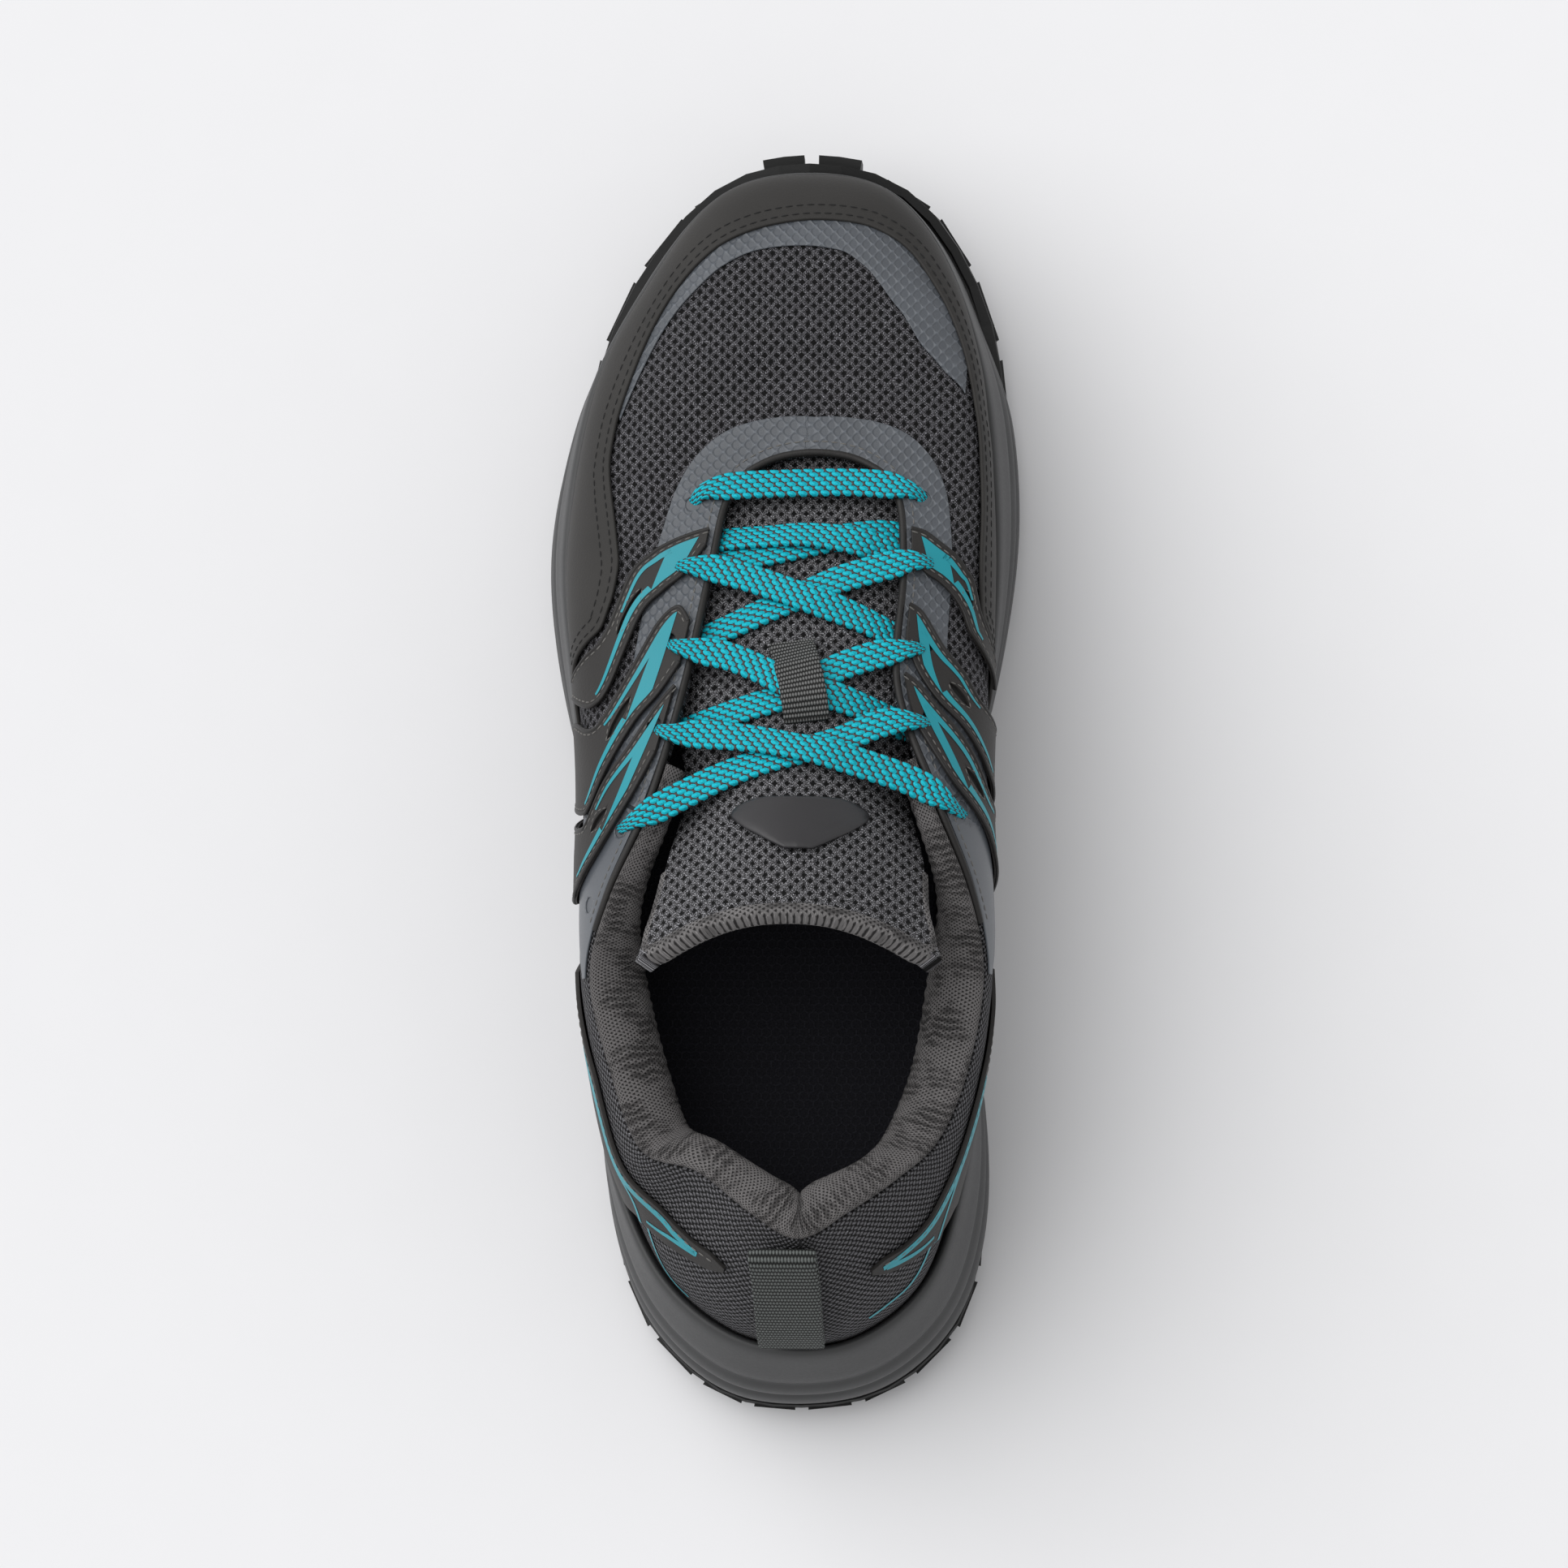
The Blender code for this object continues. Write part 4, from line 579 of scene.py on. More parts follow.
# A closed section carried along a path: centres, side and up vectors, and half width and half height
def sweep(centres, sides, ups, wide, high, around, square=1.0):
    count = len(centres)
    wide, high = np.broadcast_to(wide, count), np.broadcast_to(high, count)
    lengths = lengthsAlong(centres)

    def squared(share):
        return np.sign(share) * np.abs(share) ** square

    def place(s, t):
        at = np.rint(t * (count - 1)).astype(int)
        a = squared(np.cos(math.tau * s)) * wide[at]
        b = squared(np.sin(math.tau * s)) * high[at]
        return centres[at] + sides[at] * a[:, None] + ups[at] * b[:, None]

    def cloth(s, t, places):
        at = np.rint(t * (count - 1)).astype(int)
        across = squared(np.cos(math.tau * s)) * wide.max()
        return np.stack([(across + wide.max()) * 1000, lengths[at] * 1000], 1)

    return closedUp(gridMesh(around, count - 1, place, cloth), 1e-7)


perimeterU = np.linspace(0, sections, 481)
perimeterAt = lengthsAlong(surfaceAt(perimeterU, np.full(481, 0.55))) * 1000
# Where the knit's map turns from the forefoot's to the quarters', in sections from the heel; the forefoot's
# ridge, from which the knit falls to both sides; and how much the maps are stretched
knitMap = {"turn": 6.9, "ridgeX": 0.007, "ridgeY": [-0.02, 0.03, 0.065, 0.10, 0.14],
           "ridgeZ": [0.097, 0.090, 0.072, 0.060, 0.042], "fall": 1.08, "rise": 1.05}


def clothAt(u, v, places):
    u = np.mod(u, sections)
    ridge = np.interp(places[:, 1], knitMap["ridgeY"], knitMap["ridgeZ"])
    dx = places[:, 0] - knitMap["ridgeX"]
    across = np.sign(dx) * np.sqrt(dx**2 + knitMap["fall"] * np.maximum(0, ridge - places[:, 2]) ** 2) * 1000
    forefoot = np.stack([across, places[:, 1] * 1000], 1)
    quarter = np.stack([np.interp(u, perimeterU, perimeterAt), places[:, 2] * 1000 * knitMap["rise"]], 1)
    heelward = (u < knitMap["turn"]) | (u > sections - knitMap["turn"])
    return np.where(heelward[:, None], quarter, forefoot)


# A panel on the upper: edgesAt gives its lower and upper edge at each u
def panelMesh(start, end, across, along, edgesAt, proud, knitted=False):
    def place(s, t):
        u = start + (end - start) * s
        low, high = edgesAt(u)
        return lay(u, low + (high - low) * t, proud)

    def cloth(s, t, places):
        return clothAt(start + (end - start) * s, t, places)

    return gridMesh(across, along, place, cloth if knitted else None, fromCore)


def tableAt(rows, at):
    rows = np.array(rows, float)
    return [np.interp(at, rows[:, 0], rows[:, k]) for k in range(1, rows.shape[1])]


def softTable(rows, at, spread=0.10):
    total = 0
    for step, weight in ((-2, 1), (-1, 4), (0, 6), (1, 4), (2, 1)):
        total = total + weight / 16 * np.array(tableAt(rows, at + step * spread / 2))
    return total


def rimV(u):
    u = np.atleast_1d(np.asarray(u, float))
    goal = ringAt(u)["footZ"] * shoe["footHeight"] + shoe["rim"]
    low, high = np.zeros(len(u)), np.full(len(u), 0.7)
    for _ in range(18):
        middle = (low + high) / 2
        under = surfaceAt(u, middle)[:, 2] < goal
        low, high = np.where(under, middle, low), np.where(under, high, middle)
    return low


def mirrored(u):
    return sections - u


# Moves a line on the upper sideways by a length: positive is to the left of its way, seen from outside
def beside(u, v, shift):
    here = surfaceAt(u, v)
    way = waysAlong(here)
    side = np.cross(normalAt(u, v), way) * np.broadcast_to(shift, len(u))[:, None]
    perU = (surfaceAt(u + 0.01, v) - surfaceAt(u - 0.01, v)) / 0.02
    perV = (surfaceAt(u, v + 0.01) - surfaceAt(u, v - 0.01)) / 0.02
    uu, uv, vv = (perU * perU).sum(1), (perU * perV).sum(1), (perV * perV).sum(1)
    su, sv = (side * perU).sum(1), (side * perV).sum(1)
    scale = uu * vv - uv * uv
    return u + (su * vv - sv * uv) / scale, v + (sv * uu - su * uv) / scale


def lineThrough(points, count):
    points = np.array(points, float)
    at = spline(points, np.linspace(0, len(points) - 1, count))
    return at[:, 0], at[:, 1]


# Points along a line on the upper at an even pitch
def paced(u, v, pitch, proud):
    places = lay(u, v, proud)
    lengths = lengthsAlong(places)
    stops = np.arange(pitch / 2, lengths[-1], pitch)
    return np.interp(stops, lengths, u), np.interp(stops, lengths, v)


stitch = {"length": 1.9 * mm, "pitch": 2.55 * mm, "radius": 0.24 * mm}


def addStitches(bm, u, v, proud, size=1.0):
    if len(u) < 3:
        return
    u, v = paced(u, v, stitch["pitch"] * size, proud)
    places, normals = lay(u, v, proud), normalAt(u, v)
    ways = waysAlong(places)
    for place, way, normal in zip(places, ways, normals):
        side = np.cross(normal, way)
        turn = Matrix((way * stitch["length"] / 2 * size, side * stitch["radius"] * size,
                       normal * stitch["radius"] * 0.9 * size)).transposed().to_4x4()
        turn = Matrix.Translation(place) @ turn @ Matrix.Rotation(math.pi / 2, 4, "Y")
        bmesh.ops.create_uvsphere(bm, u_segments=6, v_segments=4, radius=1.0, matrix=turn)


# A thin band on the upper between two lines
def bandMesh(low, high, proud, across=4):
    count = len(low[0])

    def place(s, t):
        at = np.rint(t * (count - 1)).astype(int)
        u = low[0][at] + (high[0][at] - low[0][at]) * s
        v = low[1][at] + (high[1][at] - low[1][at]) * s
        return lay(u, v, np.broadcast_to(proud, count)[at])

    return gridMesh(across, count - 1, place, None, fromCore)


def stripeMesh(u, v, width, proud, across=4):
    return bandMesh(beside(u, v, -np.asarray(width) / 2), beside(u, v, np.asarray(width) / 2), proud, across)


# A round bead of edge along a line on the upper
def rollMesh(u, v, proud, wide, high):
    centres, ups = lay(u, v, proud), normalAt(u, v)
    ways = waysAlong(centres)
    return sweep(centres, unit(np.cross(ups, ways)), ups, wide, high, 10)


def joined(meshes):
    whole = bmesh.new()
    whole.loops.layers.uv.new("cloth")
    for bm in meshes:
        part = bpy.data.meshes.new("part")
        bm.to_mesh(part)
        bm.free()
        whole.from_mesh(part)
        bpy.data.meshes.remove(part)
    return whole


# Cuts a shape out of a piece for good
def carve(piece, cutterMesh):
    mesh = bpy.data.meshes.new("cutter")
    cutterMesh.to_mesh(mesh)
    cutterMesh.free()
    cutter = bpy.data.objects.new("cutter", mesh)
    bpy.context.scene.collection.objects.link(cutter)
    cut = piece.modifiers.new("cut", "BOOLEAN")
    cut.solver = "EXACT"
    cut.object = cutter
    bpy.context.view_layer.update()
    carved = bpy.data.meshes.new_from_object(piece.evaluated_get(bpy.context.evaluated_depsgraph_get()))
    piece.modifiers.clear()
    piece.data = carved
    bpy.data.objects.remove(cutter)


def treeOf(pieces, meshes=()):
    bpy.context.view_layer.update()
    seen = bpy.context.evaluated_depsgraph_get()
    whole = bmesh.new()
    for piece in pieces:
        whole.from_mesh(piece.evaluated_get(seen).to_mesh())
        piece.evaluated_get(seen).to_mesh_clear()
    for mesh in meshes:
        whole.from_mesh(mesh)
    tree = BVHTree.FromBMesh(whole)
    whole.free()
    return tree


def heightOver(tree, x, y, start=0.2, down=-1):
    hit = tree.ray_cast(Vector((x, y, start)), Vector((0, 0, down)))[0]
    return hit.z if hit else None


# Upper

upperShell = {"round": 432, "up": 64, "quarterFrom": -0.018}


def makeUpper():
    bm = panelMesh(0, sections, upperShell["round"], upperShell["up"], lambda u: (0, 1), 0.0, True)
    bmesh.ops.remove_doubles(bm, verts=bm.verts, dist=1e-6)
    for face in bm.faces:
        face.material_index = int(face.calc_center_median().y < upperShell["quarterFrom"])
    piece = addPiece("upperShell", bm, "knit", ["upper"])
    piece.data.materials.append(finishes["heelKnit"])
    return solid(piece, shoe["wall"], 0.0, offset=-1)


toeCap = {"thickness": 0.95 * mm, "rows": (1.6 * mm, 4.4 * mm), "sewn": (7.3, 16.7), "top": [
    (6.6, 0.18), (7.33, 0.4), (8.0, 0.63), (8.33, 0.665), (8.6, 0.67), (8.82, 0.6), (9.0, 0.5),
    (9.33, 0.46), (10.0, 0.43), (10.66, 0.41), (11.33, 0.4), (12.0, 0.385), (12.66, 0.383), (13.2, 0.4),
    (13.66, 0.46), (14.0, 0.53), (14.66, 0.58), (15.33, 0.6), (16.0, 0.57), (16.66, 0.39), (17.33, 0.18)]}


def capTop(u):
    return softTable(toeCap["top"], u)[0]


def capEdges(u):
    rim = rimV(u)
    return rim - underRim, np.maximum(capTop(u), rim + underRim)


def makeToeCap():
    top = toeCap["top"]
    bm = panelMesh(top[0][0], top[-1][0], 300, 22, capEdges, layer["overlay"])
    piece = addPiece("toeCapPanel", bm, "synthetic", ["toe_cap"])
    solid(piece, toeCap["thickness"], bevels["overlay"], 3)
    bm = bmesh.new()
    u = np.linspace(*toeCap["sewn"], 400)
    for shift in toeCap["rows"]:
        addStitches(bm, *beside(u, capTop(u), shift), layer["overlay"] + toeCap["thickness"])
    # The toe cap's stitches are near black: dark thread, with painted shade of the sunken stitches
    addPiece("toeCapStitches", bm, "hole")


# The film behind the toe cap; under is how far it goes below the cap's edge
toeFilm = {"thickness": 0.45 * mm, "under": 0.05, "top": [
    (9.33, 0.468), (10.0, 0.48), (10.66, 0.48), (11.33, 0.465), (12.0, 0.47), (12.4, 0.482),
    (12.66, 0.525), (12.9, 0.59), (13.33, 0.65), (13.66, 0.645), (14.0, 0.59)]}


def makeToeFilm():
    top = toeFilm["top"]

    def edgesAt(u):
        return capTop(u) - toeFilm["under"], softTable(top, u)[0]

    bm = panelMesh(top[0][0], top[-1][0], 160, 12, edgesAt, layer["film"], True)
    piece = addPiece("toeFilmPanel", bm, "film", ["toe_film"])
    solid(piece, toeFilm["thickness"], bevels["film"])


# The film round the throat; plain is where it loses its cells, behind the last strap. Its piping runs along
# the edge from piped, with its half width and half height.
eyestay = {"thickness": 0.45 * mm, "sewn": 2.6 * mm, "plain": 6.45, "piped": 5.6, "edge": 0.995,
           "piping": (0.9 * mm, 0.95 * mm), "rows": [
    (5.0, 0.93, 0.975), (5.33, 0.84, 0.98), (5.66, 0.72, 0.98), (6.33, 0.62, 0.98), (7.0, 0.68, 0.98),
    (7.66, 0.8, 0.99), (8.33, 0.8, 0.99), (9.0, 0.81, 0.99), (9.66, 0.83, 0.99), (10.33, 0.865, 0.99),
    (11.33, 0.902, 0.99), (12.0, 0.912, 0.99)]}


def makeEyestay():
    start = eyestay["rows"][0][0]
    end = mirrored(start)
    bm = panelMesh(start, end, 360, 16, lambda u: softTable(eyestay["rows"], np.minimum(u, mirrored(u))),
                   layer["film"], True)
    edges = [lay([u], [0.8])[0][1] for u in (eyestay["plain"], mirrored(eyestay["plain"]))]
    for face in bm.faces:
        middle = face.calc_center_median()
        face.material_index = int(middle.y < edges[int(middle.x > 0)])
    piece = addPiece("throatFilm", bm, "film", ["eyestay"])
    piece.data.materials.append(finishes["plainFilm"])
    solid(piece, eyestay["thickness"], bevels["film"])
    u = np.linspace(eyestay["piped"], mirrored(eyestay["piped"]), 500)
    edge = np.full(500, eyestay["edge"])
    addPiece("throatPiping", rollMesh(u, edge, 0.0, *eyestay["piping"]), "roll")
    bm = bmesh.new()
    addStitches(bm, *beside(u, edge, eyestay["sewn"]), layer["film"] + eyestay["thickness"], 0.85)
    addPiece("throatStitches", bm, "thread")
    return piece


# Each strap from its tip at the eyelet to the sole: share of the way up, then its front and back edges
# on the outer and on the inner side
straps = {
    "front": [
        (0.975, 9.48, 9.28, 14.5, 14.86), (0.93, 9.38, 8.94, 14.58, 15.02), (0.87, 9.2, 8.7, 14.78, 15.16),
        (0.8, 8.92, 8.38, 15.02, 15.36), (0.73, 8.6, 7.7, 15.26, 15.62), (0.66, 8.0, 7.42, 15.52, 16.0),
        (0.56, 7.66, 7.26, 16.1, 16.4), (0.42, 7.26, 7.1, 16.64, 16.82)],
    "middle": [
        (0.975, 8.52, 8.16, 15.3, 15.62), (0.93, 8.62, 7.86, 15.38, 15.92), (0.87, 8.4, 7.58, 15.6, 16.3),
        (0.8, 7.88, 7.12, 15.9, 16.62), (0.73, 7.44, 6.62, 16.24, 16.98), (0.66, 7.22, 6.46, 16.62, 17.26),
        (0.5, 7.02, 6.3, 17.02, 17.66), (0.33, 6.76, 6.2, 17.24, 17.8), (0.09, 6.52, 6.1, 17.48, 17.92)],
    "back": [
        (0.975, 7.96, 7.4, 15.92, 16.42), (0.93, 7.74, 6.92, 16.06, 16.92), (0.87, 7.36, 6.4, 16.4, 17.24),
        (0.8, 6.98, 6.08, 16.8, 17.54), (0.73, 6.5, 5.88, 17.26, 17.86), (0.66, 6.34, 5.72, 17.48, 18.1),
        (0.5, 6.18, 5.54, 17.8, 18.42), (0.3, 6.06, 5.44, 17.98, 18.6), (0.09, 6.0, 5.38, 18.06, 18.68)],
}
# From a strap's edge in to its stitches and to its print; the rolled edge's half width and half height;
# the print's height and the widths of its lines; the slot, the lift of its black sheet of painted shade and
# the stitches round it
strapLook = {
    "thickness": 0.9 * mm, "sewn": 1.25 * mm, "inset": 1.85 * mm,
    "rolled": (0.50 * mm, 0.42 * mm), "rolledIn": 0.30 * mm, "rolledDown": 0.2 * mm,
    "print": 0.10 * mm, "lines": (1.6 * mm, 0.6 * mm),
    "slot": 1.9 * mm, "slotShadeLift": 0.12 * mm, "slotRing": 2.0 * mm,
}
# In rows of the tables above: the printed patch's start and end, where the two lines that it splits
# into end, and the ends of the pierced slot between them
strapPrints = {
    ("front", "outer"): (0.75, 2.35, 4.6, 3.15, 4.1),
    ("middle", "outer"): (1.00, 2.15, 4.2, 2.55, 3.4),
    ("back", "outer"): (0.80, 1.75, 3.6, 2.30, 3.2),
    ("front", "inner"): (0.85, 2.60, 5.4, 3.90, 4.8),
    ("middle", "inner"): (0.90, 1.90, 5.0, 2.80, 3.8),
    ("back", "inner"): (0.90, 1.70, 5.0, 2.30, 3.3),
}


# A strap's front edge, back edge and middle line between two rows of its table
def strapLines(rows, columns, count, start, end):
    at = spline(np.array(rows), np.linspace(start, end, count))
    front, back = [(at[:, column], np.maximum(at[:, 0], rimV(at[:, column]))) for column in columns]
    return front, back, ((front[0] + back[0]) / 2, (front[1] + back[1]) / 2)


def slotMesh(u, v, width):
    share = np.linspace(-1, 1, len(u))
    widths = width * np.clip(1.04 - np.abs(share) ** 2.4, 0.04, 1)
    low, high = beside(u, v, -widths / 2), beside(u, v, widths / 2)
    slot = joined([bandMesh(low, high, proud * mm, 2) for proud in (0.3, 2.6)])
    bmesh.ops.bridge_loops(slot, edges=[edge for edge in slot.edges if edge.is_boundary])
    bmesh.ops.recalc_face_normals(slot, faces=slot.faces)
    return slot


# Moves a strap's edge in towards its middle line
def tucked(line, middle, shift):
    tries = [beside(*line, way * shift) for way in (1, -1)]
    gaps = [np.linalg.norm(lay(*one) - lay(*middle), axis=1).sum() for one in tries]
    return tries[int(gaps[1] < gaps[0])]


def makeStraps():
    made, printed, rolls, sunk = [], [], [], []
    sewn = bmesh.new()
    top = layer["strap"] + strapLook["thickness"]
    printTop, inset = top + strapLook["print"], strapLook["inset"]
    for name, rows in straps.items():
        table = np.array(rows)
        for side, columns in (("outer", (1, 2)), ("inner", (3, 4))):
            def place(s, t):
                at = spline(table, t * (len(table) - 1))
                front, back = at[:, columns[0]], at[:, columns[1]]
                u = front + (back - front) * s
                return lay(u, np.maximum(at[:, 0], rimV(u) - underRim), layer["strap"])

            bm = gridMesh(14, 90, place, None, fromCore)
            piece = addPiece(f"{side}Strap{name.title()}", bm, "strap",
                             [f"{side}_strap_{name}"])
            solid(piece, strapLook["thickness"], bevels["overlay"], 3)
            made.append(piece)
            patchStart, patchEnd, linesEnd, slotStart, slotEnd = strapPrints[name, side]

            u, v = strapLines(rows, columns, 24, slotStart, slotEnd)[2]
            carve(piece, slotMesh(u, v, strapLook["slot"]))
            widths = np.full(24, strapLook["slot"] * 1.1)
            # A black sheet of painted shade fills each slot just over the strap's underside
            sunk.append(stripeMesh(u, v, widths, layer["strap"] + strapLook["slotShadeLift"]))
            ring = np.sin(np.linspace(0.1, 3.04, 24)) * strapLook["slotRing"]
            for way in (1, -1):
                addStitches(sewn, *beside(u, v, way * ring), top, 0.7)

            front, back, middle = strapLines(rows, columns, 160, 0, len(rows) - 1)
            for edge in (front, back):
                addStitches(sewn, *tucked(edge, middle, strapLook["sewn"]), top, 0.85)
                line = tucked(edge, middle, strapLook["rolledIn"])
                rolls.append(rollMesh(*line, top - strapLook["rolledDown"], *strapLook["rolled"]))

            front, back, middle = strapLines(rows, columns, 160, patchStart, patchEnd)
            printed.append(bandMesh(tucked(front, middle, inset), tucked(back, middle, inset), printTop, 10))
            front, back, middle = strapLines(rows, columns, 160, patchEnd - 0.05, linesEnd)
            widths = np.linspace(*strapLook["lines"], 160)
            for edge in (front, back):
                printed.append(stripeMesh(*tucked(edge, middle, inset + widths / 2), widths, printTop))
    addPiece("strapStitches", sewn, "thread")
    addPiece("strapPrints", joined(printed), "print")
    addPiece("strapRolls", joined(rolls), "roll")
    addPiece("slotShadeSheets", joined(sunk), "hole")
    return made


heelWing = {"thickness": 0.95 * mm, "sewn": (1.25, 4.9), "inset": 1.6 * mm, "rows": [
    (1.1, 0.6, 0.625), (1.33, 0.55, 0.645), (1.66, 0.515, 0.63), (2.2, 0.45, 0.64), (2.66, 0.39, 0.7),
    (3.0, 0.1, 0.745), (3.5, 0.1, 0.79), (4.0, 0.1, 0.8), (4.66, 0.1, 0.72), (5.0, 0.1, 0.62)]}
# Printed lines, each with its widths at both ends
heelPrints = [
    ([(4.3, .66), (3.6, .72), (3.02, .675), (2.5, .625), (2.0, .592), (1.52, .588)], 3.2, 1.6),
    ([(2.46, .478), (2.25, .505), (2.0, .54), (1.78, .562), (1.55, .583)], 0.8, 1.6),
    ([(3.6, .7), (3.1, .66), (2.82, .59), (2.54, .412), (2.25, .26), (1.94, .17), (1.6, .155)],
     1.0, 0.8),
    ([(22.72, .6), (22.3, .603), (21.78, .608), (21.32, .655), (20.62, .73), (20.0, .74)], 1.4, 3.0),
    ([(22.66, .592), (22.42, .566), (22.2, .542), (22.04, .525), (21.86, .508)], 1.6, 0.8),
    ([(22.9, .244), (22.6, .27), (22.24, .29), (21.92, .39), (21.46, .56), (20.98, .68),
      (20.40, .700)], 0.9, 1.1),
]


def wingRows(u):
    return softTable(heelWing["rows"], np.minimum(u, mirrored(u)), 0.06)


def wingEdges(u):
    low, high = wingRows(u)
    return np.maximum(low, rimV(u) - underRim), high


def makeHeelWings():
    start, end = heelWing["rows"][0][0], heelWing["rows"][-1][0]
    top = layer["overlay"] + heelWing["thickness"]
    sewn = bmesh.new()
    inset = heelWing["inset"]
    for side, turn, inset in (("outer", np.positive, inset), ("inner", mirrored, -inset)):
        bm = panelMesh(turn(start), turn(end), 90, 24, wingEdges, layer["overlay"])
        piece = addPiece(f"{side}HeelWing", bm, "strap", [f"{side}_heel_wing"])
        solid(piece, heelWing["thickness"], bevels["overlay"], 3)
        u = turn(np.linspace(*heelWing["sewn"], 200))
        addStitches(sewn, *beside(u, wingRows(u)[1], inset), top, 0.9)
    addPiece("wingStitches", sewn, "thread")
    stripes = []
    for points, wide, narrow in heelPrints:
        u, v = lineThrough(points, 90)
        proud = np.interp(v - wingRows(u)[0], [-0.05, -0.01], [0.3 * mm, top + 0.1 * mm])
        stripes.append(stripeMesh(u, v, np.linspace(wide, narrow, 90) * mm, proud))
    addPiece("heelPrints", joined(stripes), "print")


# The collar's section: down is the way to its root, rise over the upper's edge, wall and pad how deep
collar = {
    "front": 7.33, "pad": 12.5 * mm, "roll": 3.4 * mm, "gap": 0.3 * mm, "fold": 0.35 * mm, "folds": 3.6 * mm,
    "root": [(0.00, 0.48), (4.00, 0.48), (5.00, 0.55), (6.00, 0.76), (6.66, 0.86), (7.33, 0.93)],
    "steps": [
        (1.0, 0.0, 1.14, 0.0), (0.5, 0.0, 1.14, 0.0), (0.0, 0.2, 1.14, 0.0), (0.0, 0.28, -0.05, 0.0),
        (0.0, 0.66, 0.3, 0.0), (0.0, 1.0, 1.0, 0.3), (0.0, 0.72, 1.0, 0.72), (0.03, 0.0, 1.0, 0.96),
        (0.25, 0.0, 1.0, 1.0), (0.6, 0.0, 1.0, 0.66), (0.97, 0.0, 1.0, 0.16)],
}


def collarAt(u, step):
    down, rise, wall, pad = spline(np.array(collar["steps"]), step, True).T
    root = tableAt(collar["root"], np.abs(u))[0]
    span = np.linalg.norm(surfaceAt(u, np.ones(len(u))) - surfaceAt(u, np.full(len(u), 0.9)), axis=1) * 10
    v = 1 - (1 - root) * down + collar["roll"] / span * rise
    place = lay(u, v, -(shoe["wall"] + collar["gap"]) * wall)
    normal = unit(sum(normalAt(u + shift, v) for shift in (-0.7, -0.35, 0, 0.35, 0.7)))
    around = np.interp(np.mod(u, sections), perimeterU, perimeterAt) * mm
    ripple = np.sin(around / collar["folds"] * math.tau + np.sin(around * 210) * 1.6)
    gathered = np.clip((np.abs(u) - 2.2) / 2.5, 0.12, 1) * np.clip(pad * 1.6, 0, 1)
    sunk = ringAt(u)["pad"] * collar["pad"] * pad + collar["fold"] * (0.5 + 0.5 * ripple) * gathered
    return place - normal * sunk[:, None]


def makeCollar():
    front, count = collar["front"], len(collar["steps"])

    def place(s, t):
        return collarAt(-front + 2 * front * s, t * count)

    def cloth(s, t, places):
        u = np.mod(-front + 2 * front * s, sections)
        return np.stack([np.interp(u, perimeterU, perimeterAt), t * 62], 1)

    piece = addPiece("collarPad", closedUp(gridMesh(600, 67, place, cloth), 1e-6), "collar",
                     ["collar_lining"])


# Tongue: along and across in shares of the shoe, half width, heights of sides and crown over the
# feather line, and how far the sides trail
tongue = {
    "thickness": 5 * mm,
    "rows": [
        (0.262, 0.097, 0.124, 0.39, 0.42, 0.0), (0.221, 0.088, 0.186, 0.4, 0.47, 0.0),
        (0.168, 0.075, 0.226, 0.47, 0.57, 0.0), (0.114, 0.062, 0.24, 0.56, 0.69, 0.0),
        (0.06, 0.058, 0.244, 0.66, 0.815, 0.0), (0.0, 0.049, 0.24, 0.75, 0.95, 0.0),
        (-0.052, 0.052, 0.226, 0.77, 1.075, 0.003), (-0.1, 0.052, 0.258, 0.88, 1.225, 0.01),
        (-0.136, 0.045, 0.274, 1.06, 1.35, 0.021), (-0.164, 0.045, 0.308, 1.16, 1.44, 0.034)],
}
tongueBinding = {"wide": 1.9 * mm, "high": 2.75 * mm, "from": 0.80, "corner": 0.16}


def tongueAt(s, t, depth=0.0):
    row = spline(np.array(tongue["rows"]), t * (len(tongue["rows"]) - 1))
    along, across, half, sideUp, crownUp, trail = row.T
    side = s * 2 - 1
    arch = 1 - np.abs(side) ** 2.2
    return np.stack([
        (across + half * side) * shoe["width"],
        (along - trail * (1 - arch)) * shoe["length"],
        shoe["footHeight"] + (sideUp + (crownUp - sideUp) * arch) * shoe["rise"] - depth], 1)


def makeTongue():
    bm = gridMesh(56, 110, tongueAt, None, upward)
    piece = addPiece("tonguePad", bm, "tongueKnit", ["tongue"])
    solid(piece, tongue["thickness"], 1.6 * mm, 4, offset=-1)
    low, corner = tongueBinding["from"], tongueBinding["corner"]
    half = [(0.0, low), (0.0, (low + 1 - corner) / 2), (0.0, 1 - corner * 0.5), (0.045, 0.985),
            (corner, 1.0)]
    s, t = lineThrough(half + [(0.5, 1.0)] + [(1 - s, t) for s, t in reversed(half)], 220)
    s, t = np.clip(s, 0.0, 1.0), np.clip(t, 0.0, 1.0)
    top = tongueAt(s, t)
    ups = unit(np.cross(tongueAt(s + 0.01, t) - tongueAt(s - 0.01, t),
                        tongueAt(s, t + 0.004) - tongueAt(s, t - 0.004)))
    ups = ups * np.sign(ups[:, 2:3])
    centres = top - ups * tongue["thickness"] * 0.5
    ways = waysAlong(centres)
    fade = np.interp(np.linspace(0, 1, 220), [0, 0.06, 0.94, 1], [0.55, 1, 1, 0.55])
    bm = sweep(centres, unit(np.cross(ups, ways)), ups,
               tongueBinding["wide"] * fade, tongueBinding["high"] * fade, 20, 0.8)
    addPiece("tongueBinding", bm, "binding")
    return piece


# A frame's node with finer faces; triangles within this angle are joined first
flatEnough = math.radians(40)


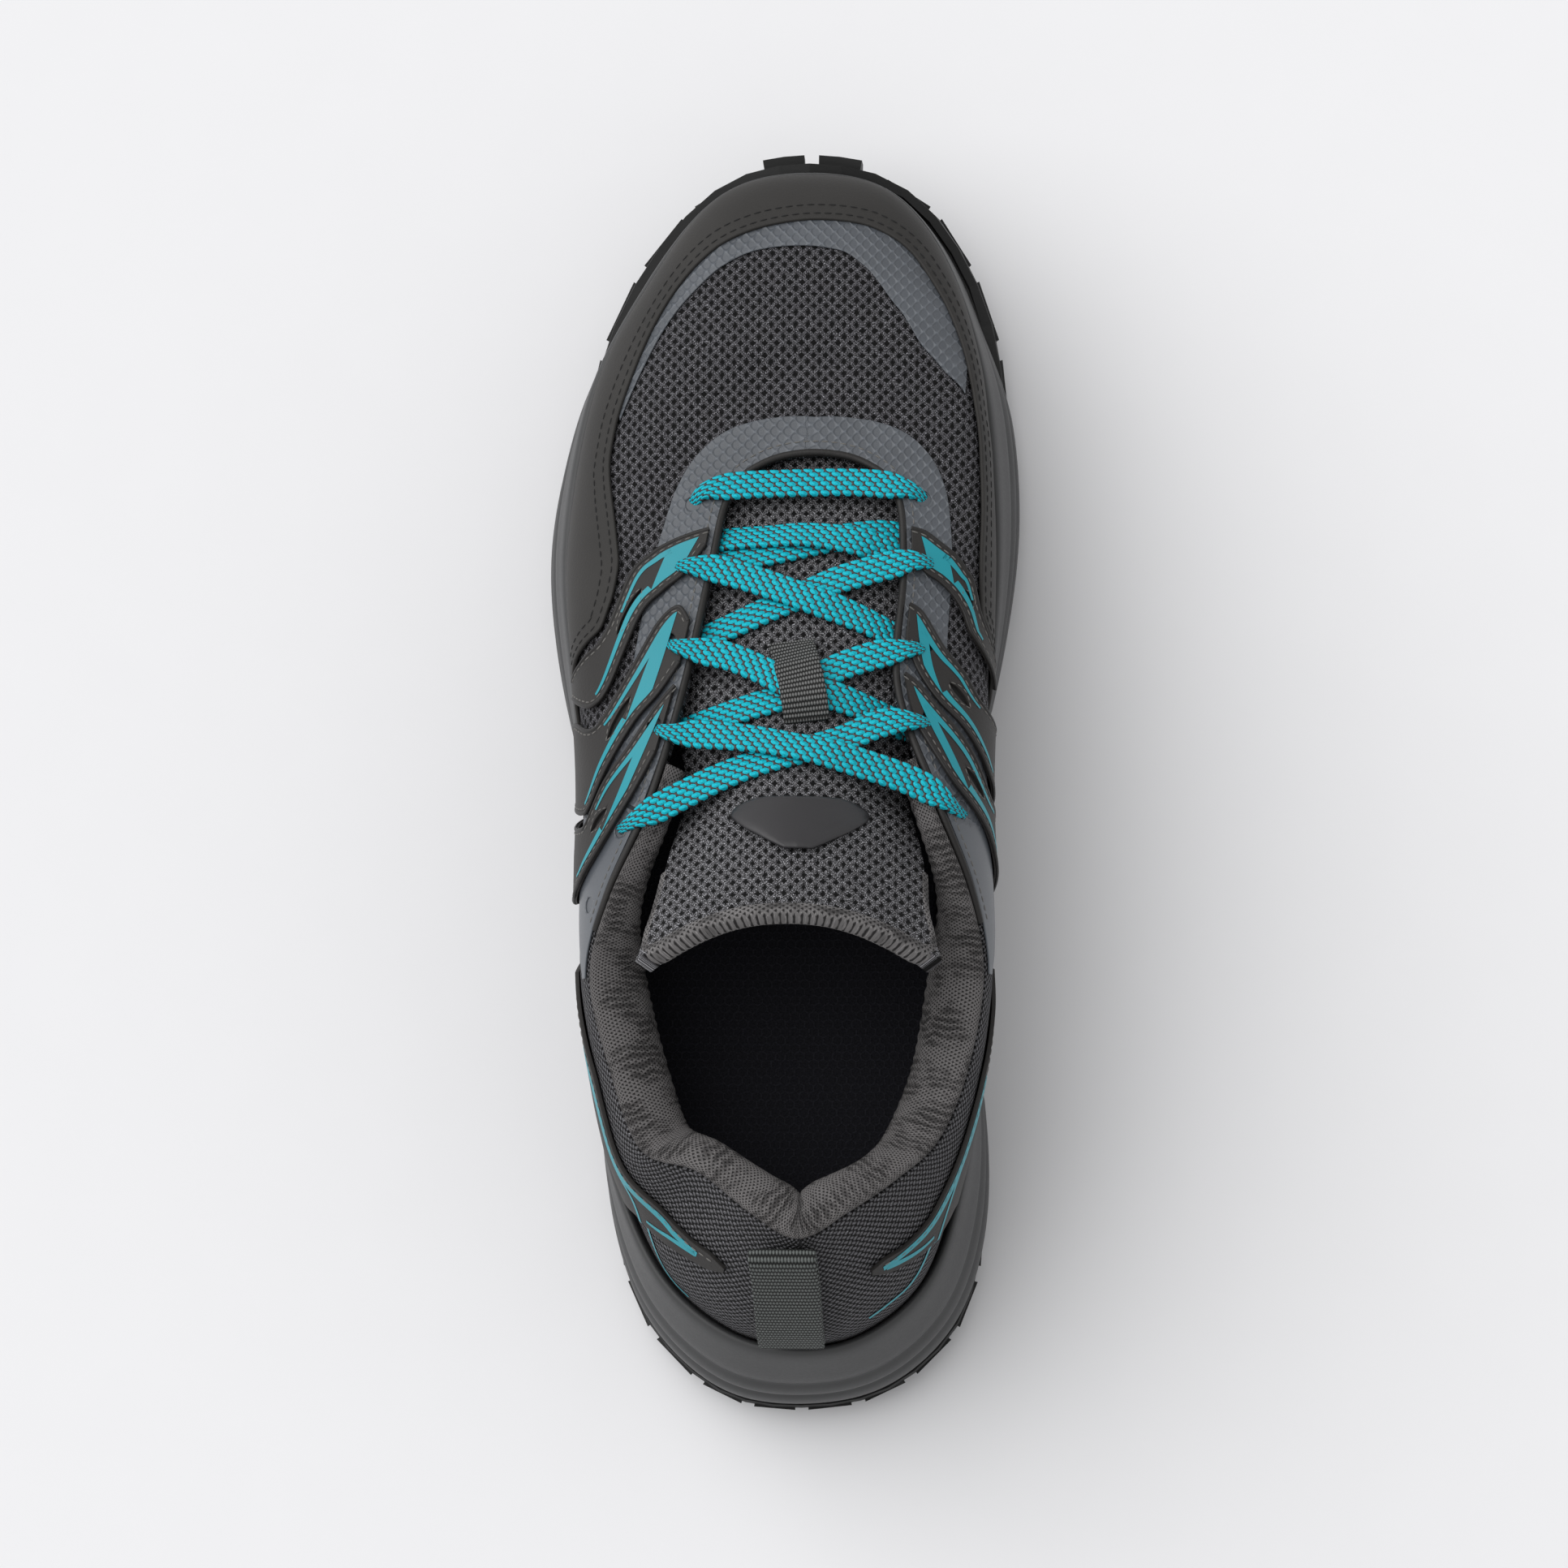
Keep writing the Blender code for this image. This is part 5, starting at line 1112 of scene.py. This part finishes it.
def smoothNode(node, name, finish, levels):
    bm = bmesh.new()
    bm.from_mesh(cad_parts[node].data)
    bmesh.ops.remove_doubles(bm, verts=bm.verts, dist=1e-5)
    bmesh.ops.join_triangles(bm, faces=bm.faces,
                             angle_face_threshold=flatEnough, angle_shape_threshold=flatEnough)
    layerUv = bm.loops.layers.uv.new("cloth")
    for face in bm.faces:
        for corner in face.loops:
            corner[layerUv].uv = corner.vert.co.xy * 1000
    piece = addPiece(name, bm, finish, [node])
    smoothing = piece.modifiers.new("smoothing", "SUBSURF")
    smoothing.levels = smoothing.render_levels = levels


# The tread's sides stay under the midsole between the toe's and the heel's lugs, drawn in towards its
# middle line, which bends to the inner side at the forefoot
outsole = {"tuck": 2.2 * mm, "tuckedBetween": (-0.125, -0.095, 0.080, 0.110), "half": 0.05,
           "middle": ((-0.10, 0.0, 0.10), (0.0, 0.0, 0.003))}


def makeSole():
    smoothNode("midsole", "midsoleFoam", "foam", 2)
    smoothNode("insole", "sockLiner", "sock", 2)
    bm = bmesh.new()
    bm.from_mesh(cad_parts["outsole"].data)
    bmesh.ops.remove_doubles(bm, verts=bm.verts, dist=1e-5)
    for vert in bm.verts:
        middle = np.interp(vert.co.y, *outsole["middle"])
        fade = np.interp(vert.co.y, outsole["tuckedBetween"], [0, 1, 1, 0])
        vert.co.x -= (vert.co.x - middle) / outsole["half"] * outsole["tuck"] * fade
    addPiece("outsoleRubber", bm, "rubber", ["outsole"], smooth=False)


makeSole()
shell = makeUpper()
makeToeCap()
makeToeFilm()
film = makeEyestay()
strapPieces = makeStraps()
makeHeelWings()
makeCollar()
tonguePad = makeTongue()
print("upper, overlays, collar and tongue made")


# Eyelets, laces and webbing

# Each eyelet's cut goes through what lies within its reach, and a dark disc of painted shade lies on the
# knit under it
eyelets = {"radius": 1.9 * mm, "cut": 6 * mm, "cutAt": 3.4 * mm, "reach": 2.5 * mm, "shadeSheetAt": 0.12 * mm,
           "places": [
    (9.71, .905), (14.17, .925), (8.96, .885), (14.94, .895), (8.31, .92), (15.69, .905),
    (7.6, .945), (16.4, .925), (6.66, .93), (17.25, .905), (5.85, .883)]}
# The lace narrows to its neck and dips at an eyelet. It feels what it lies on at its middle and edges, and
# stays below the throat's edge, its roof, where it goes under.
lace = {"width": 7.0 * mm, "thickness": 1.5 * mm, "pitch": 0.8 * mm, "neck": 0.42, "neckLength": 10 * mm,
        "dip": 2.6 * mm, "dipLength": 3.4 * mm, "edge": 0.42, "lift": 0.62,
        "roofFrom": 6 * mm, "roofReach": 7 * mm, "roofGap": 0.35 * mm}
# Runs in the plan in millimetres. Each end goes down an eyelet or under the throat's edge.
laceRuns = [
    ("lace_crossing_1", "under", "under", [
        (31.0, 46.6), (28.1, 47.0), (23.4, 47.0), (14.0, 45.3), (1.0, 42.1), (-10.5, 39.8), (-15.9, 38.6)]),
    ("lace_crossing_1", "under", "under", [
        (-16.1, 45.0), (-13.1, 45.5), (-2.8, 45.7), (6.5, 45.9), (15.9, 44.9), (23.4, 43.2), (31.0, 41.0)]),
    ("lace_bar", "eyelet", "eyelet", [
        (-19.1, 54.6), (-16.8, 56.9), (-13.4, 57.9), (-6.9, 58.6), (0.7, 58.9), (8.2, 59.1), (15.7, 59.2),
        (23.2, 58.9), (28.9, 58.0), (32.5, 56.8), (34.4, 55.4)]),
    ("lace_crossing_2", "eyelet", "under", [
        (37.0, 38.8), (34.7, 38.9), (31.0, 39.0), (25.4, 37.5), (19.8, 35.8), (14.2, 33.9), (6.9, 30.5),
        (-2.4, 26.3), (-7.9, 23.7), (-13.4, 21.4), (-19.4, 18.9)]),
    ("lace_crossing_2", "eyelet", "under", [
        (-22.9, 38.2), (-19.5, 38.0), (-13.8, 37.1), (-6.3, 34.8), (1.2, 32.0), (8.7, 29.0), (16.2, 26.3),
        (23.7, 23.1), (28.4, 20.5), (33.2, 17.8)]),
    ("lace_crossing_3", "eyelet", "under", [
        (34.8, 17.4), (31.3, 16.6), (25.7, 15.5), (20.2, 13.7), (14.7, 11.4), (7.3, 7.1), (1.9, 4.0),
        (-3.6, 2.4), (-9.1, 0.7), (-14.6, -0.9), (-20.9, -2.8)]),
    ("lace_crossing_3", "eyelet", "under", [
        (-23.7, 18.4), (-20.7, 17.1), (-15.1, 15.7), (-9.5, 14.3), (-2.0, 10.8), (3.6, 7.5), (9.2, 5.4),
        (14.8, 4.4), (20.4, 2.6), (25.0, 0.9), (31.6, -1.8)]),
    ("lace_crossing_4", "eyelet", "eyelet", [
        (36.1, -1.4), (33.3, -1.5), (28.7, -1.5), (24.1, -2.7), (16.8, -6.2), (9.5, -8.6), (2.2, -10.7),
        (-5.1, -12.9), (-12.4, -15.7), (-19.7, -19.1), (-25.1, -21.8), (-29.7, -24.0), (-33.9, -25.9)]),
    ("lace_crossing_4", "eyelet", "eyelet", [
        (-25.9, -2.9), (-21.9, -4.3), (-16.4, -4.8), (-9.0, -5.6), (-1.6, -6.8), (5.8, -8.4), (13.2, -10.0),
        (20.6, -12.1), (27.9, -14.3), (33.5, -16.4), (38.1, -18.9), (41.2, -21.0), (43.9, -22.6)]),
]
# The keeper's ends are sewn to the tongue, and feel says where across it the laces' height is taken
keeper = {"wide": 10.5 * mm, "thick": 1.1 * mm, "lift": 0.75 * mm, "feel": (-4 * mm, 0, 4 * mm),
          "path": [(4.6, 18.2), (4.9, 16.4), (6.0, 12.0), (7.2, 7.1), (8.0, 2.0), (8.4, -1.4)]}
pullTab = {
    "wide": 15.2 * mm, "thick": 1.3 * mm, "standOff": 4.5 * mm, "lean": 3.9 * mm,
    "steps": [
        (0.14, 0.3), (0.4, 0.3), (0.7, 0.3), (0.9, 0.3), (0.945, 0.32), (0.97, 0.43), (0.979, 0.66),
        (0.968, 0.89), (0.935, 1.01), (0.85, 1.04), (0.62, 1.02), (0.4, 0.9), (0.25, 0.75), (0.18, 0.7)],
}


def makeEyelets(pieces):
    shadeSheets = []
    radius = eyelets["radius"]
    for u, v in eyelets["places"]:
        place, normal = Vector(lay([u], [v])[0]), Vector(normalAt(np.array([u]), np.array([v]))[0])
        turn = normal.to_track_quat("Z", "Y").to_matrix().to_4x4()
        for piece in pieces:
            if treeOf([piece]).find_nearest(place + normal * mm)[3] < eyelets["reach"]:
                bm = bmesh.new()
                bmesh.ops.create_cone(bm, segments=24, radius1=radius, radius2=radius, cap_ends=True,
                                      depth=eyelets["cut"],
                                      matrix=Matrix.Translation(place + normal * eyelets["cutAt"]) @ turn)
                carve(piece, bm)
        # A disc of painted shade on the knit under each eyelet
        bm = bmesh.new()
        bmesh.ops.create_circle(bm, segments=24, radius=radius * 1.25, cap_ends=True,
                                matrix=Matrix.Translation(place + normal * eyelets["shadeSheetAt"]) @ turn)
        shadeSheets.append(bm)
    addPiece("eyeletShadeSheets", joined(shadeSheets), "hole")


def tautLine(lengths, heights):
    keep = []
    for point in zip(lengths, heights):
        while len(keep) > 1 and ((keep[-1][0] - keep[-2][0]) * (point[1] - keep[-2][1])
                                 >= (keep[-1][1] - keep[-2][1]) * (point[0] - keep[-2][0])):
            keep.pop()
        keep.append(point)
    return np.interp(lengths, *np.array(keep).T)


def filled(values):
    good = [k for k, value in enumerate(values) if value is not None]
    return np.interp(np.arange(len(values)), good, [values[k] for k in good])


def layLace(first, last, points, over, under, cover):
    rough = spline(np.array(points) * mm, np.linspace(0, len(points) - 1, 500))
    lengths = lengthsAlong(rough)
    count = int(lengths[-1] / lace["pitch"]) + 1
    stops = np.linspace(0, lengths[-1], count)
    plan = np.stack([np.interp(stops, lengths, rough[:, k]) for k in (0, 1)] + [np.zeros(count)], 1)
    ways = waysAlong(plan)
    sides = np.stack([-ways[:, 1], ways[:, 0], np.zeros(count)], 1)
    fromEnds = [stops, stops[-1] - stops]
    width = np.ones(count)
    for end, away in zip((first, last), fromEnds):
        if end == "eyelet":
            share = np.clip(away / lace["neckLength"], 0, 1)
            width = np.minimum(width, lace["neck"] + (1 - lace["neck"]) * share * share * (3 - 2 * share))
    rows = []
    for offset in (-lace["edge"], 0.0, lace["edge"]):
        line = plan + sides * (offset * lace["width"] * width)[:, None]
        heights = []
        for k, (x, y, _) in enumerate(line):
            end = first if k < count / 2 else last
            heights.append(heightOver(over if end == "eyelet" else under, x, y))
        rows.append(tautLine(stops, filled(heights)))
    left, middle, right = rows
    tilt = (right - left) / (2 * lace["edge"] * lace["width"] * width)
    rise = np.maximum(middle, (left + right) / 2) + lace["thickness"] * lace["lift"]
    for end, away in zip((first, last), fromEnds):
        if end == "eyelet":
            rise = rise - lace["dip"] * np.clip(1 - away / lace["dipLength"], 0, 1) ** 1.6
    for k, end in ((k, first if k < count / 2 else last) for k in range(count)):
        if end == "under":
            roof = heightOver(cover, plan[k, 0], plan[k, 1], rise[k] - lace["roofFrom"], 1)
            if roof is not None and roof - rise[k] < lace["roofReach"]:
                rise[k] = min(rise[k], roof - lace["thickness"] * 0.5 - lace["roofGap"])
    rise = np.convolve(np.pad(rise, 3, "edge"), np.array([1, 4, 9, 12, 9, 4, 1]) / 40, "valid")
    centres = plan + np.stack([0 * rise, 0 * rise, rise], 1)
    sides = unit(sides + np.stack([0 * tilt, 0 * tilt, np.clip(tilt, -0.8, 0.8)], 1))
    ways = waysAlong(centres)
    ups = unit(np.cross(ways, sides))
    high = lace["thickness"] / 2 * (1 + (1 - width) * 0.9)
    bm = sweep(centres, sides, ups * np.sign(ups[:, 2:3]), lace["width"] / 2 * width, high, 28, 0.62)
    mesh = bpy.data.meshes.new("run")
    bm.to_mesh(mesh)
    bm.free()
    return mesh, lengthsAlong(centres)[-1]


def makeLaces(base, cover):
    roof = treeOf(cover)
    laid = {}
    total = 0
    for node, first, last, points in laceRuns:
        before = [mesh for meshes in laid.values() for mesh in meshes]
        mesh, length = layLace(first, last, points, treeOf(base + cover, before), treeOf(base, before), roof)
        laid.setdefault(node, []).append(mesh)
        total += length
    print(f"laces laid, {total:.3f} m in {len(laceRuns)} runs")
    for node, meshes in laid.items():
        bm = bmesh.new()
        for mesh in meshes:
            bm.from_mesh(mesh)
        words = node.split("_")
        addPiece(words[0] + "".join(word.title() for word in words[1:]), bm, "lace", [node])
    return [mesh for meshes in laid.values() for mesh in meshes]


def makeKeeper(base, meshes):
    rough = spline(np.array(keeper["path"]) * mm, np.linspace(0, len(keeper["path"]) - 1, 40))
    tree, bare = treeOf(base, meshes), treeOf(base)
    heights = []
    for x, y in rough:
        heights.append(max(filter(None, (heightOver(tree, x + shift, y) for shift in keeper["feel"]))))
    lengths = -rough[:, 1]
    rise = tautLine(lengths, np.array(heights)) + keeper["lift"]
    low = np.array([heightOver(bare, x, y) for x, y in rough[[0, -1]]])
    rise[0], rise[-1] = low[0] + 0.3 * mm, low[1] + 0.3 * mm
    rise[1], rise[-2] = (rise[2] + low[0]) / 2 + 0.5 * mm, (rise[-3] + low[1]) / 2 + 0.5 * mm
    centres = np.column_stack([rough, rise])
    ways = waysAlong(centres)
    sides = unit(np.cross(ways, np.array([[0, 0, 1.0]])))
    bm = sweep(centres, sides, unit(np.cross(sides, ways)), keeper["wide"] / 2, keeper["thick"] / 2, 24, 0.4)
    addPiece("laceKeeper", bm, "keeper", ["lace_keeper"])


def makePullTab():
    steps = np.array(pullTab["steps"])
    at = spline(steps, np.linspace(0, len(steps) - 1, 120))
    low = rimV([0.0])[0]
    v = low + (1 - low) * at[:, 0]
    u = np.zeros(len(v))
    centres = lay(u, v, at[:, 1] * pullTab["standOff"])
    centres[:, 0] -= pullTab["lean"] * at[:, 0]
    side = (surfaceAt(np.array([0.1]), np.array([0.5])) - surfaceAt(np.array([-0.1]), np.array([0.5])))[0]
    side[2] = 0
    sides = np.tile(side / np.linalg.norm(side), (len(v), 1))
    ways = waysAlong(centres)
    ups = unit(np.cross(ways, sides))
    bm = sweep(centres, sides, ups, pullTab["wide"] / 2, pullTab["thick"] / 2, 28, 0.35)
    addPiece("pullTab", bm, "webbing", ["pull_tab"])


makeEyelets([film] + strapPieces)
laid = makeLaces([tonguePad], [shell, film] + strapPieces)
makeKeeper([tonguePad], laid)
makePullTab()
smoothNode("tongue_badge", "tonguePlate", "badge", 1)
print("eyelets, laces and webbing made")

studio = {"floor": (0.80, 0.80, 0.815), "world": 0.60, "sun": 2.15, "from": (-0.75, 0.35, 0.95), "soft": 75}


def makeStudio():
    bm = bmesh.new()
    bmesh.ops.create_grid(bm, x_segments=1, y_segments=1, size=3.0)
    mesh = bpy.data.meshes.new("floor")
    bm.to_mesh(mesh)
    bm.free()
    floor = bpy.data.objects.new("floor", mesh)
    paper = makePlain("floorPaper", studio["floor"], 0.9, 2.0, 0.0, 1.01, Specular_IOR_Level=0.1)
    mesh.materials.append(paper)
    bpy.context.scene.collection.objects.link(floor)
    world = bpy.data.worlds.new("studio")
    world.use_nodes = True
    world.node_tree.nodes["Background"].inputs["Color"].default_value = (1, 1, 1, 1)
    world.node_tree.nodes["Background"].inputs["Strength"].default_value = studio["world"]
    bpy.context.scene.world = world
    bpy.context.scene.view_settings.view_transform = "Standard"
    lamp = bpy.data.lights.new("window", "SUN")
    lamp.energy = studio["sun"]
    lamp.angle = math.radians(studio["soft"])
    holder = bpy.data.objects.new("window", lamp)
    holder.rotation_euler = (-Vector(studio["from"])).to_track_quat("-Z", "Y").to_euler()
    bpy.context.scene.collection.objects.link(holder)


# The photograph's camera: its place over the shoe, its tilt from straight down, its focal length and
# the middle of the shoe, in pixels of a square picture
photo = {"place": (0.06575, -0.34425, 1.700), "tilt": 11.5, "focal": 8915, "width": 1932, "aim": (627, 962)}


def makeCamera():
    tilt = math.radians(photo["tilt"])
    right = Vector((1, 0, 0))
    up = Vector((0, math.cos(tilt), math.sin(tilt)))
    back = Vector((0, -math.sin(tilt), math.cos(tilt)))
    half = photo["width"] / 2
    toAim = right * (photo["aim"][0] - half) + up * (half - photo["aim"][1]) - back * photo["focal"]
    back = -toAim.normalized()
    right = up.cross(back).normalized()
    up = back.cross(right)
    data = bpy.data.cameras.new("camera")
    data.sensor_width = 36
    data.lens = 36 * photo["focal"] / photo["width"]
    camera = bpy.data.objects.new("camera", data)
    turn = Matrix((right, up, back)).transposed().to_4x4()
    camera.matrix_world = Matrix.Translation(photo["place"]) @ turn
    bpy.context.scene.collection.objects.link(camera)
    bpy.context.scene.camera = camera


makeStudio()
makeCamera()
